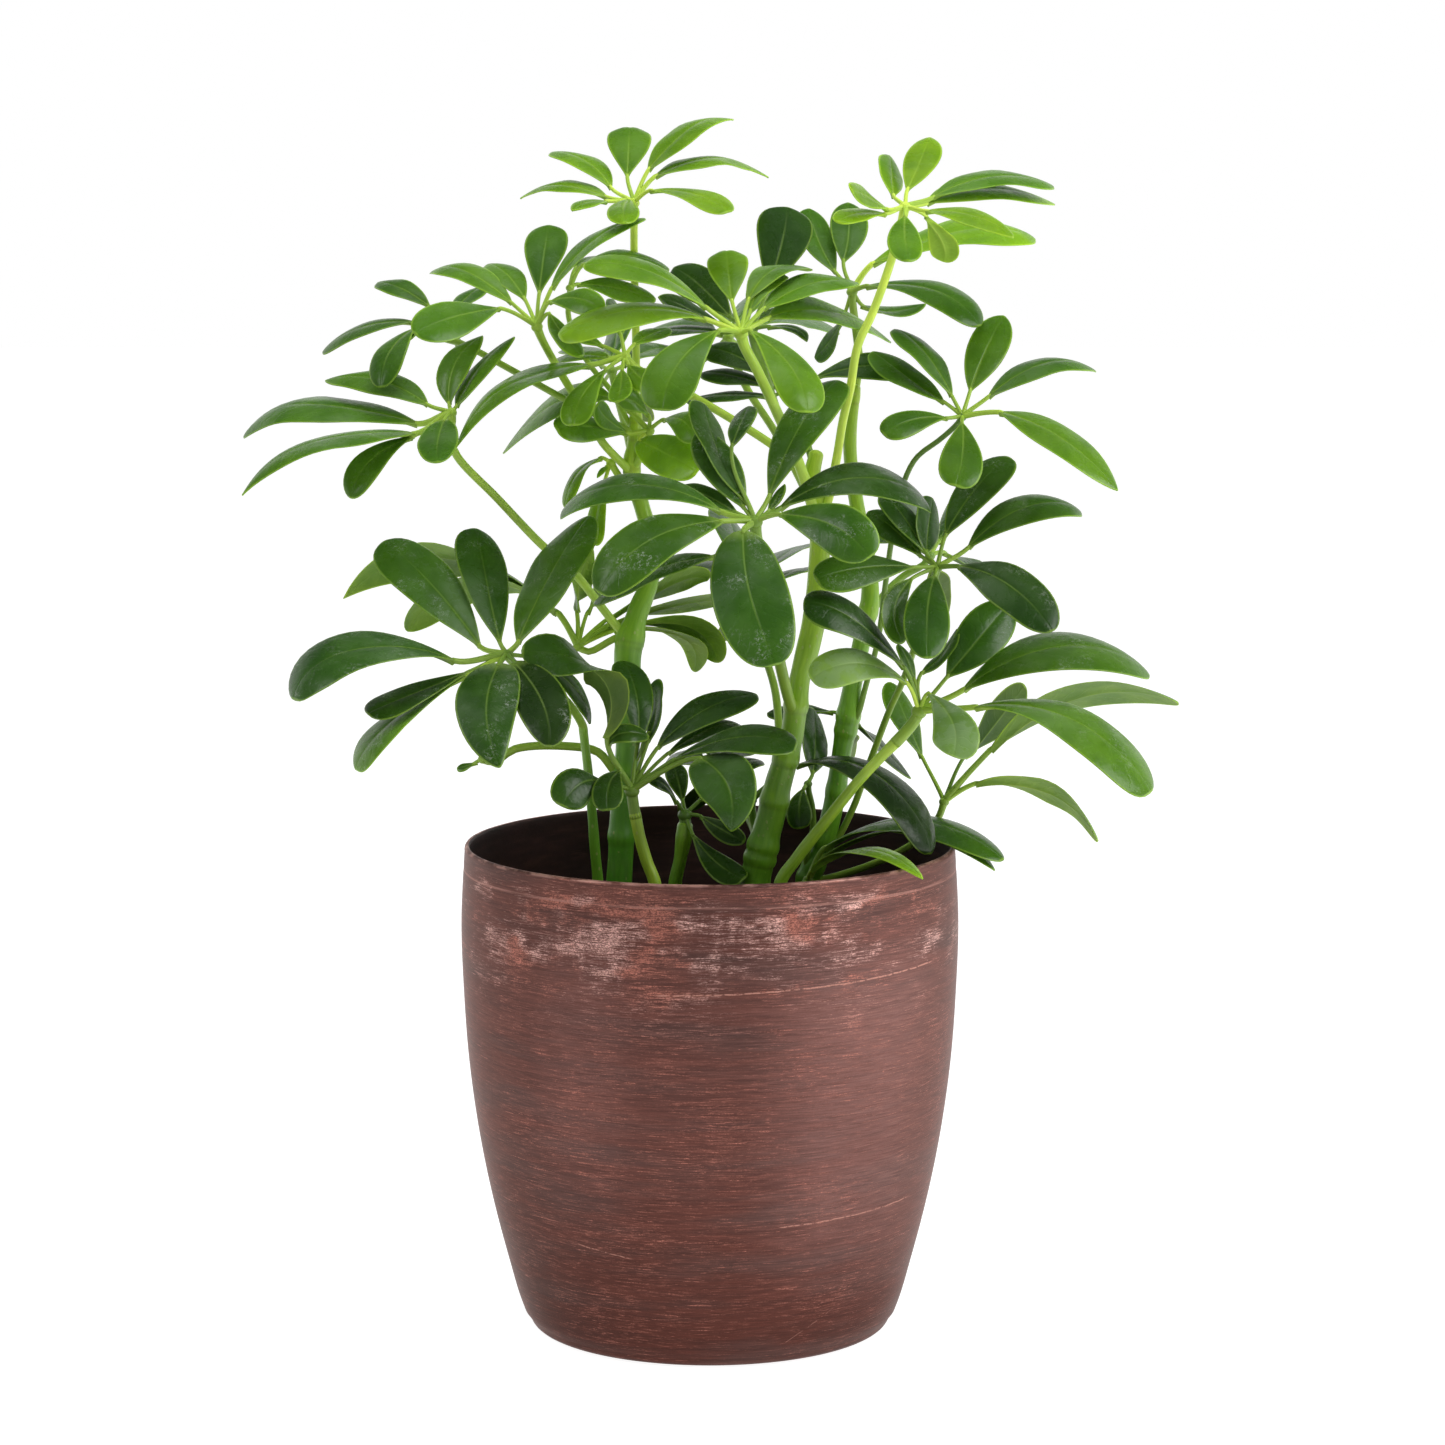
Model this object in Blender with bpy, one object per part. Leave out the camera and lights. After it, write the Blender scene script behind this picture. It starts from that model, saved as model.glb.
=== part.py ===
"""Potted dwarf umbrella tree: round pot, soil, stems and compound leaves.

Metres, +Z up, origin at the middle of the pot's foot, front along -Y.
The plant is laid out from landmarks of a viewpoint 1.5 m in front of the pot
and a little above it: a landmark (u, v) with a depth y fixes a point.
"""
import math

import bmesh
import bpy
import numpy as np

for ob in list(bpy.data.objects):
    bpy.data.objects.remove(ob, do_unlink=True)
for me in list(bpy.data.meshes):
    bpy.data.meshes.remove(me)

# ---------------------------------------------------------------------------
# Viewpoint, in millimetres
# ---------------------------------------------------------------------------
# ---------------------------------------------------------------------------
# Sight lines.  Sizes are in millimetres with the origin at the middle of the
# pot's flat bottom, +Z up and the front of the plant towards -Y.  A landmark
# (u, v) is a direction seen from one viewing point in front of the plant, and
# its distance back from the pot's axis is given by y.
# ---------------------------------------------------------------------------
FOC = 4503.1
PITCH = math.radians(7.916)
CAM = np.array([4.24, -1498.2, 414.1])
CP, SP = math.cos(PITCH), math.sin(PITCH)
FWD = np.array([0.0, CP, -SP])
UPV = np.array([0.0, SP, CP])
RGT = np.array([1.0, 0.0, 0.0])


def ray(u, v):
    d = FWD + RGT * ((u - 722.5) / FOC) - UPV * ((v - 722.5) / FOC)
    return d / np.linalg.norm(d)


def at(u, v, y):
    """The point on the sight line (u, v) that lies at depth y."""
    d = ray(u, v)
    return CAM + d * ((y - CAM[1]) / d[1])


def seen(p):
    """Where a point is seen: (u, v) and its distance along the view."""
    q = np.asarray(p, float) - CAM
    w = q @ FWD
    return np.array([722.5 + FOC * (q @ RGT) / w, 722.5 - FOC * (q @ UPV) / w]), w


def unit(a):
    a = np.asarray(a, float)
    return a / max(1e-9, np.linalg.norm(a))


# ---------------------------------------------------------------------------
# Pot and soil sizes
# ---------------------------------------------------------------------------
POT_H = 164.9
POT_R = [(0.0, 61.2), (0.06, 64.94), (0.14, 68.64), (0.25, 73.26), (0.4, 78.2),
         (0.55, 81.52), (0.7, 83.22), (0.85, 83.85), (0.95, 83.05), (1.0, 82.5)]
SOIL_Z = 136.5


def pot_radius(z):
    h = min(1.0, max(0.0, z / POT_H))
    xs = [a for a, b in POT_R]
    ys = [b for a, b in POT_R]
    return float(np.interp(h, xs, ys))


# ---------------------------------------------------------------------------
# Stems: name -> list of (u, v, y, radius).  The first point is carried on down
# into the soil.
# ---------------------------------------------------------------------------
STEMS = {
    "main_left": [(619, 884, 2, 4.4), (621, 850, 2, 4.3), (622, 815, 2, 4.1), (626, 770, 2, 4.0),
                  (628, 740, 2, 4.1), (629, 700, 2, 4.2), (628, 652, 2, 4.6), (638, 612, 3, 3.6), (650, 580, 5, 3.0),
                  (652, 545, 8, 2.8), (642, 507, 9, 2.7), (632, 472, 9, 2.8), (635, 440, 9, 2.5), (636, 412, 10, 1.9)],
    "main_centre": [(755, 884, -6, 5.1), (764, 842, -6, 5.0), (772, 812, -6, 4.8), (778, 785, -6, 4.5),
                    (786, 758, -6, 4.1), (792, 735, -5, 3.9), (796, 705, -4, 3.8), (800, 678, -3, 3.5),
                    (807, 652, -2, 3.9), (814, 620, -1, 3.9), (818, 580, 0, 3.6), (820, 540, 1, 3.4), (819, 505, 2, 3.0),
                    (812, 478, 2, 2.8), (816, 455, 2, 2.5)],
    "main_right": [(806, 884, 24, 3.8), (822, 848, 23, 3.6), (832, 812, 22, 3.5), (837, 785, 22, 3.4),
                   (842, 750, 22, 3.3), (849, 712, 22, 3.9), (853, 682, 22, 3.2), (862, 640, 22, 3.0), (870, 598, 22, 3.1),
                   (867, 555, 22, 2.7), (856, 500, 22, 2.5), (850, 450, 22, 2.3), (852, 412, 23, 2.1), (855, 388, 24, 1.8)],
    "shoot_left": [(598, 884, -12, 1.8), (595, 850, -13, 1.7), (592, 812, -14, 1.6), (588, 770, -16, 1.5),
                   (583, 728, -19, 1.5)],
    "shoot_front": [(655, 884, -30, 2.1), (647, 862, -30, 2.0), (640, 838, -30, 1.9), (635, 814, -30, 2.0)],
    "shoot_middle": [(675, 884, 6, 2.3), (680, 860, 6, 2.2), (684, 836, 6, 2.9), (685, 826, 6, 2.7)],
    "shoot_right": [(780, 884, -28, 2.1), (797, 858, -29, 2.0), (822, 826, -30, 1.9), (846, 796, -31, 1.8),
                    (862, 777, -32, 1.8), (881, 757, -33, 1.8), (898, 740, -34, 2.0)],
}

# ---------------------------------------------------------------------------
# Compound leaves.  hub: where the leaflets meet (u, v, y); n: how far the axis
# of the leaf leans to the front and to the right, in degrees; via: the stalk's
# way down (u, v); on: the stem that carries it and where (u, v); r: stalk
# radius; age: 0 young and light to 1 old and dark.
# Leaflets: tip (u, v), middle (u, v), blade base (u, v), width seen, reach from
# the hub in mm, -1 towards the front or 1 towards the back, marks.
# Marks: p pointed, b blunt, e notched at the tip, n narrow, m narrower, u seen from below,
# and t<deg> for a twist along the blade.
# ---------------------------------------------------------------------------
LEAVES = {
    "A": dict(hub=(634, 203, 18), n=(18, 0), via=[(634, 246, 21), (635, 300, 25), (636, 350, 24), (636, 386, 18)],
              on=("main_left", 636, 415), r=1.25, age=0.05, lf=[
        ((520, 199), (563, 187), (607, 197), 16, 42, 1, "p", dict(q=(540, 189))),
        ((552, 153), (587, 163), (611, 188), 24, 44, 1, ""),
        ((572, 211), (587, 203), (606, 201), 13, 30, -1, "p"),
        ((630, 127), (629, 150), (627, 177), 46, 40, 1, "e"),
        ((734, 120), (687, 134), (648, 170), 27, 50, 1, "p", dict(q=(708, 121), a=0.85)),
        ((769, 178), (712, 161), (655, 176), 16, 50, 1, "p", dict(q=(740, 165))),
        ((728, 213), (693, 194), (650, 190), 22, 42, -1, "b"),
        ((625, 224), (623, 209), (628, 199), 33, 32, -1, ""),
    ]),
    "B": dict(hub=(905, 207, -14), n=(22, 8), via=[(893, 255, -16), (873, 312, -17), (858, 345, -17), (850, 390, -12), (843, 420, -7), (836, 462, -2)],
              on=("main_centre", 819, 508), r=1.35, age=0.0, lf=[
        ((930, 138), (920, 162), (907, 190), 34, 38, 1, ""),
        ((889, 156), (891, 176), (893, 196), 24, 34, 1, ""),
        ((851, 191), (866, 197), (888, 210), 22, 30, -1, ""),
        ((838, 223), (858, 214), (886, 214), 19, 34, -1, ""),
        ((908, 262), (905, 238), (905, 216), 36, 36, -1, ""),
        ((944, 262), (943, 243), (927, 216), 29, 30, 1, "u"),
        ((1014, 238), (970, 216), (926, 211), 22, 42, -1, "p"),
        ((1053, 187), (991, 178), (932, 198), 24, 54, 1, ""),
        ((1055, 205), (988, 190), (927, 203), 26, 58, 1, "p"),
    ]),
    "C": dict(hub=(852, 292, 30), n=(18, 0), via=[(856, 330, 33), (859, 362, 31)],
              on=("main_right", 859, 396), r=1.3, age=0.55, lf=[
        ((979, 327), (932, 291), (866, 286), 30, 52, -1, ""),
        ((1035, 240), (960, 232), (872, 264), 34, 64, 1, ""),
        ((848, 203), (848, 232), (843, 262), 40, 42, 1, ""),
        ((809, 209), (818, 240), (835, 272), 34, 42, 1, ""),
        ((926, 304), (893, 312), (862, 306), 14, 30, 1, "p"),
        ((815, 358), (831, 341), (845, 314), 18, 30, 1, ""),
    ]),
    "D": dict(hub=(537, 327, -14), n=(20, -12), via=[(556, 365, -5), (580, 405, -9), (594, 428, -2), (603, 443, -2)],
              on=("main_left", 634, 468), r=1.3, age=0.25, lf=[
        ((415, 335), (455, 317), (500, 308), 44, 50, -1, ""),
        ((432, 273), (470, 275), (512, 303), 27, 46, 1, "", dict(q=(448, 268))),
        ((488, 265), (508, 276), (525, 299), 28, 38, 1, ""),
        ((549, 226), (545, 255), (539, 294), 44, 44, 1, "b"),
        ((645, 219), (590, 244), (551, 289), 20, 52, 1, "", dict(q=(620, 226))),
        ((603, 312), (576, 299), (549, 301), 28, 30, -1, ""),
        ((582, 357), (564, 336), (550, 312), 20, 24, -1, ""),
    ]),
    "H": dict(hub=(438, 333, 6), n=(12, -20), via=[(460, 343, 5), (519, 374, 1), (570, 402, -5)],
              on=("main_left", 635, 432), r=1.1, age=0.6, lf=[
        ((323, 353), (365, 328), (415, 322), 17, 42, 1, ""),
        ((378, 283), (403, 289), (430, 306), 22, 33, 1, ""),
        ((382, 388), (391, 352), (414, 328), 32, 36, -1, ""),
        ((397, 343), (407, 336), (420, 331), 12, 18, -1, ""),
        ((482, 288), (466, 299), (448, 318), 20, 30, 1, ""),
        ((463, 347), (456, 341), (448, 335), 11, 13, 1, ""),
    ]),
    "E": dict(hub=(741, 334, -26), n=(25, 0), via=[(757, 370, -24), (775, 408, -18), (792, 446, -12), (803, 475, -8), (811, 502, -6)],
              on=("main_centre", 819, 520), r=1.7, age=0.2, lf=[
        ((583, 267), (648, 272), (707, 308), 27, 57, -1, ""),
        ((559, 338), (638, 312), (706, 319), 32, 62, -1, "b"),
        ((662, 411), (680, 362), (719, 330), 54, 50, -1, "b"),
        ((806, 413), (790, 366), (750, 330), 44, 46, -1, "b"),
        ((891, 343), (828, 311), (768, 318), 28, 59, 1, "p"),
        ((859, 284), (812, 284), (763, 309), 27, 48, 1, "p"),
        ((785, 276), (762, 286), (750, 312), 24, 32, 1, ""),
        ((807, 271), (773, 270), (748, 300), 24, 44, 1, ""),
        ((727, 250), (728, 275), (732, 302), 43, 40, 1, "e"),
    ]),
    "F": dict(hub=(625, 357, -5), n=(25, -8), via=[(690, 395, -5), (768, 442, -5), (799, 466, -4)],
              on=("main_centre", 815, 487), r=1.35, age=0.15, lf=[
        ((456, 448), (522, 385), (590, 365), 22, 64, -1, "p", dict(q=(485, 404))),
        ((574, 426), (583, 396), (606, 369), 32, 38, -1, "b"),
        ((670, 329), (648, 336), (633, 345), 18, 26, 1, ""),
        ((613, 300), (617, 318), (621, 335), 14, 30, 1, ""),
        ((560, 326), (582, 337), (603, 346), 15, 26, 1, ""),
        ((554, 361), (582, 355), (611, 358), 14, 30, 1, ""),
        ((650, 386), (638, 376), (628, 365), 27, 22, -1, "b"),
        ((618, 402), (621, 388), (622, 370), 24, 28, -1, ""),
    ]),
    "G": dict(hub=(451, 413, -18), n=(25, -15), via=[(450, 437, -17), (457, 456, -15), (497, 498, -8), (541, 544, -1), (575, 574, 1)],
              on=("main_left", 628, 634), r=1.35, age=0.4, lf=[
        ((244, 438), (322, 411), (418, 424), 30, 72, 1, "", dict(q=(277, 413))),
        ((242, 496), (322, 446), (415, 434), 19, 76, -1, "", dict(q=(274, 464), b=0.95)),
        ((352, 499), (370, 461), (412, 437), 32, 46, -1, ""),
        ((438, 463), (438, 441), (444, 420), 42, 36, -1, "", dict(a=0.55)),
        ((325, 381), (379, 382), (428, 405), 28, 48, 1, "p"),
        ((483, 336), (455, 365), (449, 405), 32, 32, 1, "p"),
        ((515, 337), (479, 370), (456, 407), 20, 36, 1, "p"),
    ]),
    "T": dict(hub=(649, 431, 2), n=(28, 0), via=[],
              on=("main_left", 634, 462), r=1.3, age=0.3, lf=[
        ((617, 397), (634, 401), (650, 415), 24, 17.5, -1, "b"),
        ((697, 442), (684, 421), (663, 419), 34, 28, -1, "b"),
        ((698, 472), (666, 454), (638, 441), 46, 32, -1, "b", dict(a=0.5, b=0.4)),
        ((556, 430), (592, 428), (628, 434), 30, 38, -1, "b"),
        ((597, 404), (605, 418), (627, 433), 24, 26, -1, ""),
        ((503, 454), (558, 403), (612, 398), 28, 56, 1, "p"),
    ]),
    "U": dict(hub=(611, 463, 9), n=(18, -25), via=[],
              on=("main_left", 632, 490), r=1.2, age=0.1, lf=[
        ((566, 508), (578, 474), (601, 457), 13, 26, -1, ""),
        ((597, 478), (603, 470), (608, 466), 6, 8, -1, "p"),
        ((597, 546), (597, 515), (604, 483), 19, 29.5, -1, ""),
    ]),
    "S": dict(hub=(752, 330, 16), n=(15, 0), via=[(764, 372, 7), (782, 425, 8), (802, 472, 9)],
              on=("main_centre", 816, 507), r=1.4, age=0.8, lf=[
        ((787, 208), (781, 243), (768, 290), 57, 50, 1, "b"),
        ((674, 268), (700, 287), (731, 318), 42, 42, 1, ""),
        ((658, 297), (686, 309), (722, 325), 22, 36, -1, "p"),
        ((655, 333), (685, 330), (722, 333), 14, 38, 1, ""),
        ((807, 342), (795, 329), (768, 326), 10, 22, -1, "p"),
    ]),
    "Y": dict(hub=(789, 389, 12), n=(15, 0), via=[(801, 425, 15), (814, 468, 12)],
              on=("main_centre", 817, 497), r=1.2, age=0.85, lf=[
        ((898, 370), (860, 367), (812, 379), 31, 38, 1, "b"),
        ((687, 402), (730, 396), (770, 397), 13, 36, 1, ""),
        ((701, 374), (735, 377), (768, 387), 20, 34, 1, ""),
        ((705, 350), (735, 356), (769, 378), 30, 36, 1, ""),
    ]),
    "V": dict(hub=(570, 288, 6), n=(10, 0), via=[(568, 312, 9), (576, 342, 13), (592, 368, 14), (612, 392, 12)],
              on=("main_left", 636, 424), r=0.9, age=0.35, lf=[
        ((669, 270), (626, 257), (583, 264), 20, 36, 1, ""),
        ((656, 300), (612, 288), (577, 284), 24, 30, 1, ""),
        ((612, 262), (594, 258), (575, 268), 10, 34, 1, "p"),
    ]),
    "I": dict(hub=(507, 655, -40), n=(28, -12), via=[(538, 678), (568, 703)],
              on=("shoot_left", 583, 728, "top"), r=1.35, age=0.75, lf=[
        ((295, 701), (372, 650), (455, 661), 42, 72, -1, "b", dict(q=(318, 666))),
        ((383, 542), (436, 591), (480, 647), 54, 60, 1, "b"),
        ((475, 529), (487, 585), (500, 643), 46, 52, 1, "b"),
        ((590, 516), (548, 580), (518, 643), 48, 60, 1, ""),
        ((500, 768), (486, 712), (499, 664), 66, 50, -1, "", dict(a=0.36, b=0.7)),
        ((549, 747), (543, 704), (514, 662), 52, 46, -1, "", dict(a=0.5, b=0.55)),
        ((590, 724), (578, 693), (540, 660), 16, 38, 1, "p"),
        ((368, 715), (410, 695), (468, 672), 27, 52, -1, "b"),
        ((357, 771), (393, 722), (466, 675), 26, 63, -1, "b"),
    ]),
    "J": dict(hub=(755, 522, -50), n=(30, 0), via=[(758, 545), (768, 600), (776, 645)],
              on=("main_centre", 796, 706), r=1.8, age=0.7, lf=[
        ((838, 381), (797, 432), (769, 497), 47, 60, 1, "b"),
        ((774, 666), (749, 598), (743, 531), 80, 56, -1, "b", dict(a=0.48, b=0.46, q=(765, 641))),
        ((870, 558), (832, 526), (779, 514), 54, 46, -1, "b", dict(a=0.75, b=0.42)),
        ((927, 507), (855, 480), (779, 509), 40, 60, 1, "b", dict(q=(905, 488))),
        ((563, 514), (640, 486), (722, 512), 34, 64, 1, "b", dict(q=(588, 495))),
        ((600, 594), (650, 541), (722, 521), 54, 60, -1, "b", dict(a=0.65, b=0.42)),
        ((698, 432), (723, 470), (744, 508), 40, 40, 1, ""),
        ((682, 486), (708, 497), (737, 513), 22, 30, 1, ""),
        ((749, 407), (739, 428), (731, 446), 22, 46, 1, "b"),
        ((785, 484), (778, 498), (769, 512), 10, 16, 1, "p"),
        ((702, 403), (716, 450), (747, 503), 26, 50, 1, "b"),
        ((594, 604), (655, 571), (714, 557), 20, 62, 1, ""),
    ]),
    "K": dict(hub=(962, 417, -12), n=(22, 15), via=[(950, 431), (938, 441), (918, 456), (907, 474), (895, 520), (886, 580), (878, 640), (866, 685)],
              on=("main_right", 849, 716), r=0.9, age=0.45, lf=[
        ((883, 435), (915, 420), (948, 418), 28, 32, -1, "b"),
        ((872, 352), (908, 378), (944, 402), 30, 44, 1, ""),
        ((894, 330), (926, 356), (952, 396), 27, 42, 1, ""),
        ((1004, 316), (984, 353), (970, 391), 40, 42, 1, ""),
        ((1096, 372), (1045, 365), (988, 397), 22, 50, 1, "p"),
        ((1118, 491), (1058, 437), (1000, 412), 36, 60, -1, "p", dict(q=(1094, 466))),
        ((956, 487), (963, 452), (962, 422), 46, 36, -1, "b"),
    ]),
    "L": dict(hub=(937, 568, -22), n=(25, 12), via=[(930, 600), (917, 640), (902, 683, 6), (890, 709, 12), (874, 751, 19), (865, 775, 21), (853, 808, 22)],
              on=("main_right", 826, 840), r=1.1, age=0.7, lf=[
        ((1008, 457), (971, 496), (945, 536), 38, 48, 1, "b"),
        ((1080, 513), (1022, 510), (968, 548), 33, 54, 1, "", dict(q=(1059, 505))),
        ((1052, 632), (1008, 584), (958, 566), 50, 50, -1, "", dict(a=0.7, q=(1037, 611))),
        ((928, 659), (927, 612), (935, 575), 48, 44, -1, ""),
        ((816, 581), (866, 568), (914, 567), 38, 46, -1, "b"),
        ((868, 512), (894, 530), (921, 556), 32, 34, 1, ""),
        ((882, 494), (905, 520), (925, 552), 26, 34, 1, ""),
        ((932, 498), (927, 526), (926, 553), 26, 28, 1, "u"),
        ((904, 643), (893, 610), (911, 578), 26, 32, -1, ""),
    ]),
    "M": dict(hub=(919, 712, -34), n=(25, 10), via=[],
              on=("shoot_right", 898, 740, "top"), r=1.9, age=0.6, lf=[
        ((803, 604), (853, 620), (905, 668), 37, 54, -1, "b"),
        ((811, 680), (860, 664), (907, 682), 36, 42, -1, "b"),
        ((1010, 603), (978, 640), (947, 677), 50, 50, 1, ""),
        ((1149, 676), (1056, 651), (963, 690), 42, 78, 1, "", dict(q=(1112, 655))),
        ((1150, 794), (1068, 720), (975, 707), 42, 84, -1, "b"),
        ((953, 757), (954, 724), (929, 692), 48, 30, -1, "b"),
        ((898, 644), (906, 658), (915, 680), 12, 24, 1, "p"),
        ((957, 629), (944, 654), (921, 672), 8, 32, 1, "p"),
    ]),
    "N": dict(hub=(944, 802, 16), n=(-15, 10), via=[(937, 820), (915, 842), (878, 862)],
              on=("main_right", 810, 876), r=1.2, age=0.5, lf=[
        ((889, 682), (905, 720), (922, 757), 28, 48, 1, ""),
        ((1025, 685), (995, 722), (964, 757), 34, 50, 1, "u"),
        ((1178, 703), (1080, 696), (990, 750), 30, 86, -1, "u"),
        ((1098, 842), (1044, 792), (976, 783), 20, 54, -1, "u", dict(q=(1077, 812))),
    ]),
    "O": dict(hub=(752, 800, 6), n=(15, 12), via=[(756, 828, 7)],
              on=("main_centre", 763, 846), r=1.3, age=0.95, lf=[
        ((929, 855), (871, 774), (796, 765), 32, 67, -1, "n", dict(q=(914, 818), b=0.45)),
    ]),
    "O2": dict(hub=(808, 784, 13), n=(10, 0), via=[(812, 805), (813, 828)],
              on=("main_right", 812, 866), r=1.0, age=0.9, lf=[
        ((801, 829), (799, 806), (803, 788), 26, 17, -1, "b"),
        ((812, 708), (815, 742), (813, 774), 26, 30, 1, "u"),
    ]),
    "P": dict(hub=(808, 880, 8), n=(-12, 20), via=[],
              on=("main_centre", 757, 892), r=1.2, age=0.65, lf=[
        ((1003, 861), (912, 823), (824, 848), 20, 66, -1, "n"),
        ((995, 871), (918, 828), (824, 856), 11, 64, -1, "pn"),
        ((923, 879), (867, 850), (812, 870), 17, 82, -1, "bm", dict(wd=8.8, a=0.6, b=0.7)),
    ]),
    "Q": dict(hub=(632, 791, -30), n=(22, 0), via=[],
              on=("shoot_front", 635, 814, "top"), r=1.8, age=0.8, lf=[
        ((521, 651), (602, 676), (607, 738), 44, 62.5, -1, "ut110"),
        ((649, 737), (620, 732), (603, 743), 20, 18, -1, ""),
        ((650, 737), (643, 746), (635, 759), 24, 20, 1, "u"),
        ((622, 661), (638, 700), (637, 748), 36, 46, 1, "b"),
        ((652, 684), (657, 706), (648, 742), 10, 40, 1, ""),
        ((757, 695), (703, 712), (657, 748), 32, 54, 1, ""),
        ((797, 746), (735, 739), (673, 760), 29, 56, -1, "b"),
        ((562, 807), (580, 784), (605, 782), 42, 30, -1, "b"),
        ((608, 811), (608, 784), (619, 768), 34, 20, -1, "b"),
        ((731, 832), (728, 787), (701, 757), 62, 44, -1, "b", dict(a=0.42, b=0.75)),
        ((741, 727), (714, 728), (668, 753), 18, 44, 1, ""),
    ]),
    "R": dict(hub=(685, 815, 6), n=(18, 0), via=[],
              on=("shoot_middle", 685, 826, "top"), r=1.9, age=0.95, lf=[
        ((649, 783), (663, 784), (678, 803), 12, 18, -1, ""),
        ((673, 764), (678, 782), (683, 802), 24, 22, 1, "b"),
        ((762, 762), (735, 768), (700, 800), 18, 34, 1, ""),
        ((745, 842), (722, 830), (701, 816), 22, 24.5, -1, ""),
        ((744, 880), (716, 864), (692, 834), 28, 34, -1, "b"),
    ]),
    "W": dict(hub=(848, 716, 40), n=(-10, 0), via=[],
              on=("main_right", 845, 730), r=1.2, age=0.9, lf=[
        ((911, 779), (881, 748), (858, 724), 13, 34, 1, "p"),
        ((767, 714), (800, 711), (833, 712), 16, 30, 1, ""),
        ((848, 664), (852, 684), (851, 705), 14, 36, 1, ""),
        ((846, 775), (850, 755), (850, 732), 13, 34, 1, ""),
    ]),
    "Z": dict(hub=(578, 647, 6), n=(-8, -5), via=[],
              on=("main_left", 628, 640), r=1.15, age=0.35, lf=[
        ((343, 599), (448, 562), (557, 612), 28, 82, 1, "ut-20", dict(q=(386, 569), a=0.6, b=0.95)),
        ((410, 632), (484, 583), (559, 613), 24, 60, 1, "u", dict(q=(432, 606))),
        ((592, 545), (578, 583), (577, 613), 24, 38, 1, "u"),
        ((612, 560), (598, 590), (587, 613), 18, 38, 1, "u"),
        ((718, 663), (684, 624), (614, 630), 24, 54, 1, "u"),
        ((694, 672), (682, 636), (612, 627), 11, 48, 1, "u"),
        ((707, 581), (674, 583), (606, 620), 20, 54, 1, "up"),
        ((735, 600), (670, 606), (608, 625), 12, 60, 1, "u"),
    ]),
    "X": dict(hub=(483, 759, -4), n=(15, -20), via=[(515, 749), (565, 746), (598, 752)],
              on=("main_left", 626, 772), r=1.35, age=0.5, lf=[
        ((457, 769), (466, 767), (476, 763), 8, 9.5, 1, "b"),
    ]),
    "K1": dict(hub=(752, 590, 46), n=(-48, 0), via=[(760, 640), (775, 690)],
              on=("main_centre", 787, 758), r=1.3, age=0.7, lf=[
        ((668, 572), (705, 570), (738, 584), 30, 54, 1, ""),
        ((724, 512), (735, 540), (747, 575), 30, 58, 1, ""),
        ((812, 547), (790, 552), (761, 575), 16, 56, 1, "b"),
        ((812, 571), (792, 573), (768, 586), 12, 54, 1, ""),
        ((776, 640), (768, 618), (757, 600), 28, 44, 1, ""),
        ((728, 640), (738, 620), (747, 603), 28, 46, 1, ""),
    ]),
    "K2": dict(hub=(728, 338, 56), n=(-42, 0), via=[(745, 385, 54), (775, 432, 42), (806, 492, 22)],
              on=("main_centre", 819, 524), r=1.3, age=0.5, lf=[
        ((640, 338), (680, 327), (715, 334), 30, 54, 1, ""),
        ((676, 396), (692, 372), (717, 348), 28, 46, 1, ""),
        ((798, 398), (770, 372), (740, 347), 28, 52, 1, ""),
        ((838, 332), (790, 318), (743, 331), 28, 56, 1, ""),
        ((708, 276), (716, 300), (725, 325), 26, 52, 1, ""),
        ((775, 282), (755, 300), (735, 326), 26, 54, 1, ""),
    ]),
    "K3": dict(hub=(930, 556, 34), n=(-30, 10), via=[(905, 575, 33), (886, 592, 30)],
              on=("main_right", 869, 612), r=1.2, age=0.8, lf=[
        ((872, 530), (892, 536), (918, 549), 28, 40, 1, ""),
        ((912, 500), (920, 518), (927, 543), 26, 46, 1, ""),
        ((985, 480), (962, 505), (938, 542), 28, 50, 1, "b"),
        ((1020, 602), (985, 576), (944, 552), 26, 46, 1, ""),
        ((935, 640), (938, 600), (932, 568), 28, 40, 1, ""),
    ]),
    "K4": dict(hub=(612, 372, 44), n=(-38, -8), via=[(618, 400, 40), (626, 430, 26)],
              on=("main_left", 634, 458), r=1.2, age=0.6, lf=[
        ((568, 350), (585, 352), (602, 366), 26, 44, 1, ""),
        ((622, 312), (618, 332), (613, 358), 28, 48, 1, ""),
        ((690, 356), (655, 350), (624, 365), 28, 48, 1, ""),
        ((640, 420), (634, 402), (619, 382), 26, 40, 1, ""),
        ((572, 418), (586, 400), (604, 381), 26, 44, 1, ""),
    ]),
    "K5": dict(hub=(712, 772, 44), n=(-40, 0), via=[(735, 800, 38), (752, 826, 20)],
              on=("main_centre", 762, 858), r=1.2, age=0.9, lf=[
        ((672, 756), (686, 758), (702, 768), 26, 36, 1, ""),
        ((712, 722), (711, 738), (712, 760), 26, 40, 1, ""),
        ((756, 742), (738, 750), (722, 765), 26, 38, 1, ""),
        ((744, 806), (732, 794), (719, 780), 24, 32, 1, ""),
        ((690, 812), (696, 798), (706, 782), 24, 34, 1, ""),
    ]),
}


def leaf_axis(n):
    return unit([math.tan(math.radians(n[1])), -math.tan(math.radians(n[0])), 1.0])


def stem_points(name):
    """Centre line of a stem as 3-D points with radii, from the soil up."""
    return [(at(u, v, y), r) for u, v, y, r in STEMS[name]]


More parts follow.
